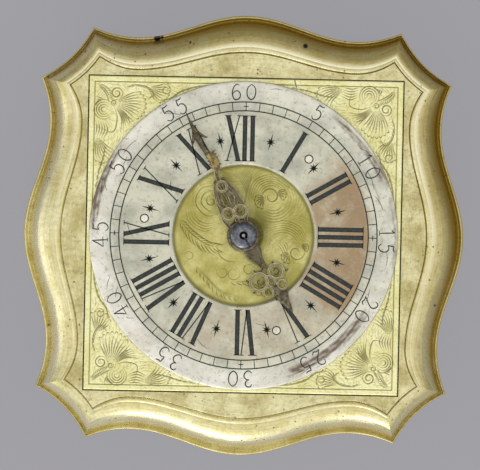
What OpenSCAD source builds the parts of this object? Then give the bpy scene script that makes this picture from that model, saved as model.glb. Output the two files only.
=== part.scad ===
// Horizontal table clock: a square wavy-edged case that lies flat, with the dial on top.
// +Z is up through the dial, +Y points to twelve o'clock, and the origin is the middle of
// the resting plane under the feet.

/* [Case] */
// Height of the case from the resting plane to the flat land round the dial
case_h = 61; // [56:0.5:75]
// Width of the case across the middles of two opposite sides
case_mid = 140.6; // [136:0.2:150]
// Width of the case across the dips beside the middles
case_dip = 125.4; // [122:0.2:134]
// Width of the case across the corner horns
case_horn = 131.4; // [128:0.2:140]
// Distance of each corner horn from the middle of its side
horn_at = 49.3; // [46:0.1:54]
// Distance of each dip from the middle of its side
dip_at = 35; // [30:0.5:38]
// How far the edge between two horns is drawn in
corner_hollow = 1.9; // [0:0.1:4]
// Width of the flat land across the middles of two opposite sides
land_mid = 116; // [112:0.2:120]
// Width of the flat land across the dips
land_dip = 103.8; // [102.5:0.1:108]
// Width of the flat land across its corner points
land_horn = 111.6; // [108:0.2:116]
// Distance of each corner point of the land from the middle of its side
land_horn_at = 46.85; // [45:0.05:50]
// Height of the top frame
top_frame_h = 12; // [11:0.5:16]
// Height of the base frame
base_frame_h = 11; // [10:0.5:14]
// Drop of the ogee moulding from the land to its hollow
ogee_drop = 7.35; // [6:0.05:8]
// Width of the glazed band across its flats
band_w = 108; // [107:0.5:110]
// Thickness of the glazed band
band_t = 2; // [1.5:0.1:2.5]
// Size of the cut across each corner of the band
band_corner = 10; // [8:0.5:12]
// Width of each side window
window_w = 58; // [40:1:62]
// Height of each side window
window_h = 19; // [14:0.5:20]
// Thickness of the window panes
pane_t = 1.4; // [1:0.1:1.6]
// How far a pane laps its window on each side
pane_lap = 2.5; // [2:0.1:4]
// Radius of the case rods
rod_r = 1.5; // [1.2:0.1:1.8]
// Distance of the rods and feet from the middle, along X and Y
rod_at = 46; // [45.5:0.1:46.5]

/* [Feet] */
// Height of the feet
foot_h = 8; // [7.5:0.5:12]
// Radius of the feet
foot_r = 5.6; // [4:0.1:6]

/* [Bottom door] */
// Side of the square bottom door
door_w = 78; // [72:1:79]
// Thickness of the door
door_t = 2.5; // [2.2:0.1:3]
// Gap round the closed door
door_gap = 0.3; // [0.2:0.05:0.5]
// Radius of the round window in the door
door_window_r = 30; // [24:0.5:33]
// Thickness of the door glass
door_glass_t = 1.2; // [0.8:0.1:1.4]
// How far the glass laps its seat
door_glass_lap = 2; // [1:0.1:3]
// Radius of the hinge knuckles
knuckle_r = 1.2; // [1.1:0.05:1.3]
// Radius of the hinge pin
hinge_pin_r = 0.6; // [0.5:0.05:0.7]
// Half the length of the hinge
hinge_half = 14; // [12:0.5:20]
// Half the length of the middle knuckle
hinge_mid_half = 6; // [4:0.5:8]

/* [Dial] */
// Side of the square dial plate
dial_w = 100; // [99:0.1:100.6]
// Thickness of the dial plate
dial_t = 1.6; // [1.4:0.1:2]
// Gap between the dial plate and the frame
dial_gap = 0.3; // [0.2:0.05:0.4]
// Outer radius of the chapter ring
chapter_r = 49.2; // [46:0.1:49.6]
// Inner radius of the chapter ring
chapter_inner_r = 22.4; // [20:0.1:26]
// Thickness of the chapter ring
chapter_t = 1; // [0.8:0.1:1.4]
// Radius of the rivets that hold the chapter ring
rivet_r = 1.25; // [0.8:0.05:1.5]
// Distance of the rivets from the middle
rivet_at = 32; // [30:0.5:36]
// Distance of the dial feet from the middle
dial_foot_at = 38; // [37:0.1:39]
// Radius of the dial feet
dial_foot_r = 2; // [1.8:0.1:2.3]

/* [Hands] */
// Length of the minute hand from the middle to its tip
minute_len = 43.2; // [40:0.1:45]
// Length of the hour hand from the middle to its tip
hour_len = 29; // [26:0.1:31]
// Angle of the minute hand at rest, clockwise from twelve
minute_angle = 333.7; // [0:0.1:360]
// Angle of the hour hand at rest, clockwise from twelve
hour_angle = 146.3; // [0:0.1:360]
// Thickness of the hands' blades
hand_t = 0.6; // [0.5:0.05:0.7]
// Radius of the minute hand's boss
minute_boss_r = 5; // [4.5:0.1:5.2]
// Radius of the domed collet on the boss
collet_r = 4.2; // [3.4:0.1:4.4]

/* [Movement] */
// Side of the square movement plates
plate_w = 84; // [82:0.5:86]
// Thickness of the movement plates
plate_t = 1.8; // [1.6:0.1:2.2]
// Clear height between the plates
pillar_h = 22; // [22:0.1:22.6]
// Height of the gap between the front plate and the dial
motion_gap = 8; // [7.8:0.1:8.6]
// Distance of the pillars from the middle, along X and Y
pillar_at = 39; // [38.6:0.1:39.2]
// Radius of the mainspring barrel
barrel_r = 17; // [15:0.1:17.2]
// Wall of the barrel
barrel_wall = 1.1; // [0.8:0.1:1.6]
// Large radius of the fusee
fusee_r = 13; // [11.5:0.1:13.5]
// Small radius of the fusee
fusee_small_r = 7; // [6.5:0.1:8]
// Radius of the balance
balance_r = 20; // [17:0.1:20.5]
// Width of the winding square
winding_square = 2.6; // [2.2:0.1:2.8]
// Play between a turning shaft and its hole, on the radius
running_fit = 0.05; // [0.03:0.01:0.08]
// Play between pieces that are fixed together, on the radius
fixed_fit = 0.02; // [0.01:0.01:0.04]

/* [Hidden] */
$fn = 48;

// Colours
gilt = "#b08a4a";
brass = "#c8b45a";
silvered = "#cfcbbd";
steel = "#6d7178";
blued = "#3c4148";
bronze = "#7d7350";
clear_glass = "#cfe0dc";

// Levels, from the resting plane up
dial_z = case_h - dial_t;
front_top = dial_z - motion_gap;
front_z = front_top - plate_t;
gap_z = front_z - pillar_h;
back_z = gap_z - plate_t;
base_z = foot_h;
band_z = base_z + base_frame_h;
band_h = case_h - top_frame_h - band_z;
chapter_top = case_h + chapter_t;

// Openings and seats of the two frames
dial_opening = dial_w / 2 + dial_gap;
ledge_half = dial_opening - 1.8;
ledge_t = 1.5;
top_cavity = band_w / 2 - band_t - 1;
base_cavity = top_cavity - 1;
cavity_corner = 14;
band_seat = band_w / 2 + 1;
door_seat_t = 0.2;
door_z = base_z + door_seat_t;
door_half = door_w / 2;
door_recess = door_half + door_gap;
floor_t = 2.1;
floor_z = door_z + door_t + door_seat_t;
floor_opening = door_half - 4;
door_ring_t = 0.6;
door_glass_seat = door_t - door_glass_t - door_ring_t;
knob_inset = 4.5;
knob_shank_r = 0.8;
window_mid_z = band_z + band_h / 2;
rod_depth = 7;
rod_end_gap = 0.2;
clip_w = 4;
clip_t = 0.35;
clip_gap = 0.1;
clip_hold = 1.4;

// The moulding across its width: share of the width outwards, share of the ogee's drop
moulding = [
    [0, 0], [0.022, 0.078], [0.08, 0.022], [0.2, 0.016], [0.36, 0.07], [0.52, 0.19],
    [0.62, 0.335], [0.72, 0.55], [0.8, 0.785], [0.87, 0.975], [0.93, 0.905], [0.985, 0.905],
    [1, 1.02], [0.985, 1.18], [0.78, 1.3], [0.5, 1.44]
];
side_steps = 24;
horn_share = 1 - 2 / side_steps;
land_hollow = 0.6;
base_drop = ogee_drop * 0.92;

// Train centres and levels above the inner face of the back plate
great_n = 54;
great_m = 0.75;
centre_pinion_n = 12;
centre_n = 60;
centre_m = 0.45;
third_pinion_n = 6;
third_n = 48;
third_m = 0.42;
contrate_pinion_n = 6;
contrate_n = 42;
contrate_r = 8.4;
crown_pinion_n = 6;
crown_n = 15;
crown_r = 6;
cannon_n = 12;
minute_n = 36;
minute_m = 0.5;
minute_pinion_n = 10;
hour_n = 40;
hour_m = 0.48;
fusee_turn = 225;
third_turn = -50;
contrate_turn = 0;
minute_turn = 45;
barrel_p = [-23, 23];
fusee_p = polar((great_n + centre_pinion_n) * great_m / 2, fusee_turn);
third_p = polar((centre_n + third_pinion_n) * centre_m / 2, third_turn);
contrate_p = third_p + polar((third_n + contrate_pinion_n) * third_m / 2, contrate_turn);
minute_p = polar((cannon_n + minute_n) * minute_m / 2, minute_turn);
great_h = pillar_h - 3.6;
great_t = 1.6;
centre_h = 3.4;
third_h = 7;
contrate_h = 11;
contrate_tip_h = 14.1;
crown_h = 15;
crown_pinion_r = contrate_r * crown_pinion_n / contrate_n;
crown_x = contrate_p.x;
mesh_y = contrate_p.y + contrate_r;
crown_y = mesh_y + 7.6;
crown_tip_y = crown_y + 3;
verge_y = crown_tip_y + 1.4;
verge_p = [crown_x, verge_y];
verge_r = 0.5;
pallet_len = 1.2;
end_play = 0.3;
pivot_r = 0.45;
fine_pivot_r = 0.3;
centre_shaft_r = 1.2;
fusee_shaft_r = 2;
barrel_shaft_r = 2.5;
barrel_pivot_r = 1.6;
barrel_h = 2.5;
barrel_top_h = 19.5;
cap_t = 1.2;
barrel_floor = 1.2;
fusee_h = 3;
fusee_top_h = great_h - 2.4;
fusee_turns = 8;
chain_t = 0.8;
chain_w = 1.2;
chain_turn = 4;
stop_p = [-4, -34];
groove = (fusee_top_h - fusee_h) / fusee_turns;
groove_depth = 0.5;
chain_play = 0.15;
chain_h = fusee_h + groove * (chain_turn - 0.5);
chain_fusee_r = fusee_at(chain_h) - groove_depth + chain_play + chain_t / 2;
chain_barrel_r = barrel_r + chain_play + chain_t / 2;

// Levels of the motion work above the front plate
cannon_h = 0.3;
cannon_leaf_h = 3;
minute_wheel_h = 1;
minute_wheel_t = 1.2;
minute_pinion_h = 2.8;
hour_wheel_h = cannon_h + cannon_leaf_h + end_play;
hour_wheel_t = 1.2;
cannon_r = 2.5;
hour_pipe_bore = cannon_r + 2 * running_fit;
hour_pipe_r = hour_pipe_bore + 1;
hour_boss_r = minute_boss_r + 0.3;
hour_boss_z = chapter_top + 0.9;
boss_t = 0.9;
minute_boss_z = hour_boss_z + boss_t + 0.7;
collet_z = minute_boss_z + boss_t;
collet_h = 1.5;
tip_r = 0.5;
slit_angle = 148.8;

// Balance side, below the back plate
balance_z = back_z - 4.8;
balance_t = 1.2;
cock_t = 1.4;
cock_z = back_z - 7.9;
cock_p = verge_p + polar(24.5, -64);
spring_z = back_z - 2.5;
spring_h = 0.4;
spring_r = 7.4;
regulator_r = 8.3;
regulator_z = back_z - 1.3;

// Hinge of the bottom door
hinge_y = -door_recess - 1.2;
hinge_z = base_z - 1.4;

// Point at a radius and an angle
function polar(r, a) = [r * cos(a), r * sin(a)];

// Radius of the fusee at a level above the inner face of the back plate
function fusee_at(h) = fusee_small_r
    + (fusee_r - fusee_small_r) * (h - fusee_h) / (fusee_top_h - fusee_h);

// Half-width of a wavy side at distance x from its middle
function side_y(x, mid, dip, tip, at) =
    x <= dip_at
        ? dip + (mid - dip) * (1 + cos(180 * x / dip_at)) / 2
        : dip + (tip - dip) * pow((x - dip_at) / (at - dip_at), 2);

// Point of a wavy outline on the +Y side, for s from -1 to 1
function wave(s, mid, dip, tip, at, hollow) =
    let (a = abs(s), g = sign(s), x = at * a / horn_share)
    a <= horn_share
        ? [g * x, side_y(x, mid, dip, tip, at)]
        : let (
            v = (a - horn_share) / (1 - horn_share) / 2,
            p = [at, tip] + v * [tip - at, at - tip],
            q = hollow * 4 * v * (1 - v) / sqrt(2))
          [g * (p.x - q), p.y - q];

// Point of a square with cut corners on the +Y side
function cut_square(s, h, cut) =
    let (a = abs(s), g = sign(s))
    a <= horn_share
        ? [(h - cut) * s / horn_share, h]
        : let (v = (a - horn_share) / (1 - horn_share) / 2)
          [g * (h - cut + v * cut), h - v * cut];

// Point of a frame's section at s: a wavy blend, a plain square or a cut square
function frame_point(s, kind, a, cut) =
    kind == "wave"
        ? (1 - a) * wave(s, land_mid / 2, land_dip / 2, land_horn / 2, land_horn_at, land_hollow)
            + a * wave(s, case_mid / 2, case_dip / 2, case_horn / 2, horn_at, corner_hollow)
        : kind == "square" ? [a * s, a] : cut_square(s, a, cut);

function turned(p, a) = [p.x * cos(a) - p.y * sin(a), p.x * sin(a) + p.y * cos(a)];

// A ribbon outline round points [x, y, width]
function ribbon_side(p, g) = [
    for (i = [0:len(p) - 1])
        let (
            a = p[max(i - 1, 0)],
            b = p[min(i + 1, len(p) - 1)],
            d = [b.x - a.x, b.y - a.y] / norm([b.x - a.x, b.y - a.y]))
        [p[i].x - g * d.y * p[i].z / 2, p[i].y + g * d.x * p[i].z / 2]
];
function reversed(p) = [for (i = [len(p) - 1:-1:0]) p[i]];

// Points [x, y, width] of a curl round c, from radius r0 and angle a0 to r1 and a1
function curl(c, r0, a0, r1, a1, w0, w1, steps = 12) = [
    for (i = [0:steps])
        let (t = i / steps, p = c + polar(r0 + (r1 - r0) * t, a0 + (a1 - a0) * t))
        [p.x, p.y, w0 + (w1 - w0) * t]
];

// Outline of a gear with thin straight-sided teeth, one tooth centred on angle 0
function gear_points(n, r, add, ded) = [
    for (i = [0:n - 1], q = [[-0.25, -ded], [-0.1, add], [0.1, add], [0.25, -ded]])
        polar(r + q[1], 360 / n * (i + q[0]))
];

// Outline of a saw-toothed ratchet
function ratchet_points(n, r, depth) = [
    for (i = [0:n - 1], q = [[0, 0], [0.15, -depth]]) polar(r + q[1], 360 / n * (i + q[0]))
];

module ribbon(p) polygon(concat(ribbon_side(p, 1), reversed(ribbon_side(p, -1))));

module ring(r_out, r_in) difference() {
    circle(r_out);
    circle(r_in);
}

module at(p, z) translate([p.x, p.y, z]) children();

module corners(d) for (a = [0:90:270]) rotate(a) translate([d, d, 0]) children();

module sides() for (a = [0:90:270]) rotate(a) children();

// A wavy frame swept from a list of section points [kind, a, z, cut]
module frame_sweep(section, up) {
    n = 4 * side_steps;
    m = len(section);
    points = [
        for (i = [0:n - 1], q = section)
            let (
                side = floor(i / side_steps),
                s = 2 * (i - side * side_steps) / side_steps - 1,
                p = turned(frame_point(s, q[0], q[1], q[3]), -90 * side))
            [p.x, p.y, q[2]]
    ];
    faces = [
        for (i = [0:n - 1], j = [0:m - 1])
            let (
                i2 = (i + 1) % n,
                j2 = (j + 1) % m,
                a = i * m + j,
                b = i2 * m + j,
                c = i2 * m + j2,
                d = i * m + j2)
            each (up ? [[a, d, c], [a, c, b]] : [[a, b, c], [a, c, d]])
    ];
    polyhedron(points, faces);
}

// A gear wheel with a rim, arms, a hub and a bore
module wheel(n, mod, t, bore, hub_r, rim, arms = 4, arm_w = 1.6, phase = 0) {
    r = n * mod / 2;
    linear_extrude(t) difference() {
        union() {
            difference() {
                rotate(phase) polygon(gear_points(n, r, 0.5 * mod, 0.9 * mod));
                circle(r - 0.9 * mod - rim);
            }
            circle(hub_r);
            for (i = [0:arms - 1]) rotate(360 / arms * i)
                translate([0, -arm_w / 2]) square([r - mod - rim / 2, arm_w]);
        }
        circle(bore);
    }
}

// A solid pinion with a bore; bore 0 leaves it solid
module pinion(n, r, h, bore, phase = 0) {
    mod = 2 * r / n;
    linear_extrude(h) difference() {
        rotate(phase) polygon(gear_points(n, r, 0.4 * mod, 0.9 * mod));
        if (bore > 0) circle(bore);
    }
}

// A shaft between the plates, with a pivot at each end
module shaft(r, pr) {
    translate([0, 0, end_play]) cylinder(r = r, h = pillar_h - 2 * end_play);
    translate([0, 0, -plate_t]) cylinder(r = pr, h = pillar_h + 2 * plate_t);
}

// A screw with a slotted head below and its shank going up
module screw(head_r, head_h, shank_r, shank_h) {
    difference() {
        cylinder(r = head_r, h = head_h);
        translate([-head_r - 1, -0.2, -1]) cube([2 * head_r + 2, 0.4, 1 + head_h / 2]);
    }
    cylinder(r = shank_r, h = head_h + shank_h);
}

module top_frame() color(gilt) {
    section = concat(
        [["square", dial_opening, case_h, 0]],
        [for (q = moulding) ["wave", q[0], case_h - q[1] * ogee_drop, 0]],
        [
            ["cut", band_seat, case_h - top_frame_h, band_corner],
            ["cut", top_cavity, case_h - top_frame_h, cavity_corner],
            ["cut", top_cavity, dial_z - ledge_t, cavity_corner],
            ["cut", ledge_half, dial_z - ledge_t, cavity_corner - 2],
            ["cut", ledge_half, dial_z, cavity_corner - 2],
            ["square", dial_opening, dial_z, 0]
        ]);
    difference() {
        frame_sweep(section, true);
        corners(rod_at) translate([0, 0, case_h - top_frame_h - 1])
            cylinder(r = rod_r + fixed_fit, h = rod_depth + 1);
    }
}

module base_frame() color(gilt) {
    section = concat(
        [["square", door_recess, base_z, 0]],
        [for (q = moulding) ["wave", q[0], base_z + q[1] * base_drop, 0]],
        [
            ["cut", band_seat, band_z, band_corner],
            ["cut", base_cavity, band_z, cavity_corner],
            ["cut", base_cavity, floor_z + floor_t, cavity_corner],
            ["square", floor_opening, floor_z + floor_t, 0],
            ["square", floor_opening, floor_z, 0],
            ["square", door_recess, floor_z, 0]
        ]);
    difference() {
        frame_sweep(section, false);
        corners(rod_at) translate([0, 0, base_z - 1])
            cylinder(r = rod_r + fixed_fit, h = base_frame_h + 2);
    }
}

module band_outline(h, cut) polygon([
    for (a = [0:90:270]) each [turned([-h + cut, h], -a), turned([h - cut, h], -a)]
]);

module case_wall() color(gilt) translate([0, 0, band_z]) difference() {
    linear_extrude(band_h) difference() {
        band_outline(band_w / 2, band_corner);
        band_outline(band_w / 2 - band_t, band_corner - band_t * (2 - sqrt(2)));
    }
    sides() translate([-window_w / 2, band_w / 2 - band_t - 1, (band_h - window_h) / 2])
        cube([window_w, band_t + 2, window_h]);
}

module window_panes() color(clear_glass, 0.4) sides()
    translate([-window_w / 2 - pane_lap, band_w / 2 - band_t - pane_t,
        window_mid_z - window_h / 2 - pane_lap])
        cube([window_w + 2 * pane_lap, pane_t, window_h + 2 * pane_lap]);

// Small bent tabs that hold each pane against the band
module window_clips() color(brass) {
    reach = window_h / 2 + pane_lap;
    inner = band_w / 2 - band_t;
    face = inner - pane_t - clip_gap;
    sides() for (x = [-window_w / 3, window_w / 3], up = [0, 1])
        translate([x - clip_w / 2, 0, window_mid_z]) mirror([0, 0, up])
            rotate([90, 0, 90]) linear_extrude(clip_w) polygon([
                [inner, reach + clip_gap], [inner, band_h / 2],
                [inner - clip_t, band_h / 2], [inner - clip_t, reach + clip_gap + clip_t],
                [face - clip_t, reach + clip_gap + clip_t], [face - clip_t, reach - clip_hold],
                [face, reach - clip_hold], [face, reach + clip_gap]
            ]);
}

module feet() color(gilt) corners(rod_at) rotate_extrude() polygon(concat(
    [[0, 0], [foot_r * 0.62, 0]],
    [for (a = [-60:20:60]) [foot_r * (0.3 + 0.7 * cos(a)), foot_h * (0.42 + 0.4 * sin(a))]],
    [
        [foot_r * 0.52, foot_h * 0.82], [foot_r * 0.8, foot_h * 0.9], [foot_r * 0.8, foot_h],
        [rod_r + fixed_fit, foot_h], [rod_r + fixed_fit, foot_h / 2], [0, foot_h / 2]
    ]));

module case_rods() color(steel) corners(rod_at) translate([0, 0, foot_h / 2 + rod_end_gap])
    cylinder(r = rod_r, h = case_h - top_frame_h + rod_depth - foot_h / 2 - 2 * rod_end_gap);

module bottom_door() color(gilt) {
    difference() {
        translate([-door_half, -door_half, door_z]) cube([door_w, door_w, door_t]);
        translate([0, 0, door_z - 1]) cylinder(r = door_window_r, h = door_t + 2);
        translate([0, 0, door_z + door_glass_seat])
            cylinder(r = door_window_r + door_glass_lap, h = door_t);
        translate([0, door_half - knob_inset, door_z - 1])
            cylinder(r = knob_shank_r + fixed_fit, h = door_t + 2);
    }
    for (g = [-1, 1]) {
        x0 = g > 0 ? hinge_mid_half + 0.2 : -hinge_half;
        difference() {
            translate([x0, 0, 0]) rotate([90, 0, 90])
                linear_extrude(hinge_half - hinge_mid_half - 0.2) union() {
                    translate([hinge_y, hinge_z]) circle(knuckle_r);
                    polygon([
                        [hinge_y, hinge_z + knuckle_r * 0.2], [hinge_y + knuckle_r, hinge_z],
                        [-door_half + 5, hinge_z + 0.4], [-door_half + 5, door_z],
                        [-door_half + 0.1, door_z], [-door_half + 0.1, hinge_z + knuckle_r],
                        [hinge_y, hinge_z + knuckle_r]
                    ]);
                }
            translate([x0 - 1, hinge_y, hinge_z]) rotate([0, 90, 0])
                cylinder(r = hinge_pin_r + running_fit, h = hinge_half);
        }
    }
}

module door_glass() color(clear_glass, 0.4) translate([0, 0, door_z + door_glass_seat])
    cylinder(r = door_window_r + door_glass_lap - fixed_fit, h = door_glass_t);

module door_glass_ring() color(brass) translate([0, 0, door_z + door_t - door_ring_t])
    linear_extrude(door_ring_t)
        ring(door_window_r + door_glass_lap - fixed_fit, door_window_r + 0.2);

module door_knob() color(brass) translate([0, door_half - knob_inset, 0]) rotate_extrude() polygon([
    [0, door_z + door_t - 0.2], [knob_shank_r, door_z + door_t - 0.2], [knob_shank_r, door_z], [2, door_z],
    [2, door_z - 0.5], [1.1, door_z - 1], [1.1, door_z - 1.8], [2.2, door_z - 2.6],
    [2.5, door_z - 3.4], [2, door_z - 4.3], [0, door_z - 4.6]
]);

module door_hinge_leaf() color(gilt) {
    leaf_y = hinge_y - knuckle_r - 9;
    difference() {
        union() {
            translate([-hinge_half, leaf_y, base_z - 1.2]) cube([2 * hinge_half, 8.7, 1.2]);
            translate([-hinge_mid_half, 0, 0]) rotate([90, 0, 90])
                linear_extrude(2 * hinge_mid_half) union() {
                    translate([hinge_y, hinge_z]) circle(knuckle_r);
                    translate([leaf_y + 1, base_z - 1.2])
                        square([hinge_y - leaf_y - 1, 1]);
                }
        }
        translate([-hinge_half, hinge_y, hinge_z]) rotate([0, 90, 0])
            cylinder(r = hinge_pin_r + fixed_fit, h = 2 * hinge_half);
    }
}

module door_hinge_pin() color(steel) translate([-hinge_half - 0.4, hinge_y, hinge_z])
    rotate([0, 90, 0]) cylinder(r = hinge_pin_r, h = 2 * hinge_half + 0.8);

module dial_plate() color(brass) translate([0, 0, dial_z]) difference() {
    translate([-dial_w / 2, -dial_w / 2, 0]) cube([dial_w, dial_w, dial_t]);
    translate([0, 0, -1]) cylinder(r = hour_pipe_r + 0.4, h = dial_t + 2);
    ring_rivet_places() translate([0, 0, -1]) cylinder(r = rivet_r * 0.6 + fixed_fit, h = dial_t + 2);
}

module ring_rivet_places() for (a = [39.4, 159.7, 278.7]) rotate(-a) translate([0, rivet_at, 0])
    children();

module chapter_ring() color(silvered) translate([0, 0, case_h]) difference() {
    rotate_extrude() polygon([
        [chapter_inner_r, 0], [chapter_r, 0], [chapter_r, chapter_t * 0.7],
        [chapter_r - 0.3, chapter_t], [chapter_inner_r + 0.6, chapter_t],
        [chapter_inner_r, chapter_t * 0.5]
    ]);
    ring_rivet_places() translate([0, 0, -1]) cylinder(r = rivet_r + fixed_fit, h = chapter_t + 2);
}

module ring_rivets() color(silvered) ring_rivet_places() translate([0, 0, dial_z]) {
    cylinder(r = rivet_r * 0.6, h = dial_t + 0.01);
    translate([0, 0, dial_t]) cylinder(r = rivet_r, h = chapter_t);
}

// The feet stand on the dial plate's back and pass through the front plate
module dial_feet() color(brass) for (a = [0:90:270]) rotate(a) translate([dial_foot_at, 0, 0])
    difference() {
        union() {
            translate([0, 0, front_top]) cylinder(r = dial_foot_r, h = motion_gap);
            translate([0, 0, front_z - 2.2])
                cylinder(r = dial_foot_r * 0.75, h = plate_t + 2.3);
        }
        translate([0, 0, front_z - 1.1]) rotate([90, 0, 0])
            cylinder(r = 0.4 + fixed_fit, h = 10, center = true);
    }

module dial_foot_pins() color(steel) for (a = [0:90:270]) rotate(a)
    translate([dial_foot_at, 0, front_z - 1.1]) rotate([90, 0, 0])
        cylinder(r = 0.4, h = 2 * dial_foot_r + 1.6, center = true);

// Turn-buttons on the dial feet that grip under the ledge of the frame
module dial_dogs() color(brass) for (a = [0:90:270]) rotate(a)
    translate([0, 0, dial_z - ledge_t - 1.4]) linear_extrude(1.4) difference() {
        union() {
            translate([dial_foot_at, 0]) circle(dial_foot_r + 1.4);
            translate([dial_foot_at, -2]) square([ledge_half + 1.5 - dial_foot_at, 4]);
        }
        translate([dial_foot_at, 0]) circle(dial_foot_r + fixed_fit);
    }

// Rococo hour hand, pointing along +Y
module hour_hand_outline() {
    w = 0.75;
    difference() {
        union() {
            circle(hour_boss_r);
            translate([0, 6.6]) circle(2.7);
            ribbon([[0, 3, 3.2], [0, 8.6, 2.6], [-0.4, 10.4, 1.7], [-0.2, 12.4, 1.2]]);
            translate([-2.4, 14.8]) ring(2.95, 2.3);
            translate([3.6, 14.9]) ring(2.85, 2.2);
            translate([0.5, 16.9]) scale([0.75, 1]) circle(2.75);
            translate([-2.2, 19.4]) ring(1.75, 1.1);
            translate([2.3, 19.3]) ring(1.85, 1.2);
            ribbon(curl([2.2, 10.4], 2.9, 175, 1.3, 25, 0.7, 0.4));
            ribbon(curl([-2.2, 11.4], 2.4, -10, 1.1, 165, 0.7, 0.4));
            ribbon([[-4.6, 15.6, w], [-5.6, 16.6, 0.7], [-6.3, 16.4, 0.3]]);
            ribbon([[5.8, 15.8, w], [6.7, 17.2, 0.7], [7.3, 17, 0.3]]);
            ribbon([[0.3, 19, 1.8], [0.2, 20.8, 1.7], [0, 22, 1.6]]);
            ribbon([
                [0, 21.4, 1.5], [0, 22.4, 4.2], [0, 23.3, 4.4], [0, 24.6, 2.9],
                [-0.1, 26.3, 1.6], [-0.1, hour_len, 0.3]
            ]);
        }
        translate([0.5, 16.9]) scale([0.75, 1]) circle(2.05);
        translate([0, 6.6]) for (a = [0:120:240]) rotate(a + 30) translate([1.3, 0]) circle(0.45);
        circle(hour_pipe_r + fixed_fit);
    }
}

// Rococo minute hand, pointing along +Y
module minute_hand_outline() {
    difference() {
        union() {
            circle(minute_boss_r);
            translate([2.6, 6.9]) ring(1.9, 1.1);
            translate([-1.6, 7.7]) ring(2.1, 1.3);
            ribbon([[0.3, 4, 1.6], [0.6, 8, 1.2], [0.9, 10.6, 1.2]]);
            translate([3.1, 12.4]) ring(1.8, 1.1);
            translate([0.3, 12.6]) ring(2, 1.3);
            translate([-0.5, 16.6]) ring(2.2, 1.5);
            ribbon([[2.6, 3.8, 1], [3.9, 6.4, 1.2], [4, 9.4, 1], [3.7, 12.8, 1.3], [2.9, 16.2, 1.1],
                [1.4, 19.4, 0.7]]);
            ribbon([[-2.8, 3.8, 1], [-3.5, 6.8, 1.2], [-3.3, 9.8, 1], [-2.9, 13, 1.3], [-2.2, 16, 1.1],
                [-0.7, 19.2, 0.7]]);
            ribbon(curl([-2.6, 13], 2, -60, 0.8, 170, 0.7, 0.4));
            ribbon(curl([2.9, 17.4], 2.3, 200, 0.9, -10, 0.7, 0.4));
            ribbon([[-0.2, 18.4, 1.8], [0.4, 20.6, 1.5], [1.1, 22.6, 2.2], [1.6, 24.6, 3.4],
                [1.4, 26.6, 2.8], [0.7, 28.4, 1.8], [0.2, 30.6, 1.5], [0, 34, 2.2],
                [0, 37, 1.5], [0, 40, 0.8], [0, minute_len, 0.2]]);
            ribbon([[0.3, 37, 0.8], [1.1, 35.2, 0.9], [2.1, 33.7, 0.7], [3, 33.1, 0.2]]);
            ribbon([[-0.3, 37, 0.8], [-1, 35.2, 0.9], [-1.9, 33.6, 0.7], [-2.7, 32.7, 0.2]]);
            ribbon([[2, 22.6, 0.6], [3.4, 23.7, 0.9], [4, 25.2, 0.3]]);
            ribbon([[0.2, 22.8, 0.6], [-0.8, 24, 0.9], [-1, 25.6, 0.3]]);
        }
        circle(cannon_r + fixed_fit);
    }
}

module hour_hand() color(bronze) rotate(-hour_angle) {
    translate([0, 0, hour_boss_z + 0.15]) linear_extrude(hand_t) hour_hand_outline();
    translate([0, 0, hour_boss_z]) linear_extrude(boss_t)
        ring(hour_boss_r, hour_pipe_r + fixed_fit);
}

module minute_hand() color(bronze) rotate(-minute_angle) {
    translate([0, 0, minute_boss_z + 0.15]) linear_extrude(hand_t) minute_hand_outline();
    translate([0, 0, minute_boss_z]) linear_extrude(boss_t)
        ring(minute_boss_r, cannon_r + fixed_fit);
}

module hand_collet() color(blued) translate([0, 0, collet_z]) rotate(-slit_angle) difference() {
    rotate_extrude() polygon(concat(
        [[tip_r + fixed_fit, 0], [collet_r, 0]],
        [for (a = [0:15:75]) [1.4 + (collet_r - 1.4) * cos(a), 0.3 + (collet_h - 0.3) * sin(a)]],
        [[1.2, collet_h], [1.2, collet_h - 0.8], [tip_r + fixed_fit, collet_h - 0.8]]));
    translate([-0.25, 0, collet_h - 1]) cube([0.5, collet_r + 1, 2]);
}

module collet_pin() color(blued) translate([0, 0, collet_z + collet_h - 0.78])
    rotate(-slit_angle) rotate([-90, 0, 0]) cylinder(r = 0.2, h = collet_r - 0.4);

module cannon_pinion() color(steel) translate([0, 0, front_top + cannon_h]) difference() {
    union() {
        pinion(cannon_n, cannon_n * minute_m / 2, cannon_leaf_h, 0, minute_turn);
        cylinder(r = cannon_r, h = collet_z - front_top - cannon_h);
    }
    translate([0, 0, -1])
        cylinder(r = centre_shaft_r + running_fit, h = collet_z - front_top + 2);
}

module hour_wheel() color(brass) translate([0, 0, front_top + hour_wheel_h]) {
    phase = minute_turn + 180 / hour_n;
    difference() {
        union() {
            wheel(hour_n, hour_m, hour_wheel_t, hour_pipe_bore, hour_pipe_r + 1.4, 1.4, 4, 1.6, phase);
            cylinder(r = hour_pipe_r, h = hour_boss_z + boss_t - front_top - hour_wheel_h);
        }
        translate([0, 0, -1])
            cylinder(r = hour_pipe_bore, h = hour_boss_z + boss_t - front_top + 2);
    }
}

module minute_wheel() color(brass) at(minute_p, front_top + minute_wheel_h) {
    wheel(minute_n, minute_m, minute_wheel_t, 1 + running_fit, 2, 1.3, 4, 1.5,
        minute_turn + 180 + 180 / minute_n);
    translate([0, 0, minute_wheel_t - 0.01])
        pinion(minute_pinion_n, minute_pinion_n * hour_m / 2, minute_pinion_h,
            1 + running_fit, minute_turn + 180);
}

module minute_wheel_stud() color(steel) at(minute_p, front_top) difference() {
    union() {
        cylinder(r = 2, h = minute_wheel_h - 0.2);
        cylinder(r = 1, h = motion_gap - 1);
        translate([0, 0, minute_wheel_h + minute_wheel_t + minute_pinion_h + 0.2])
            cylinder(r = 1.7, h = 0.6);
    }
    translate([0, 0, motion_gap - 1.6]) rotate([90, 0, 0])
        cylinder(r = 0.25, h = 6, center = true);
}

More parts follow.
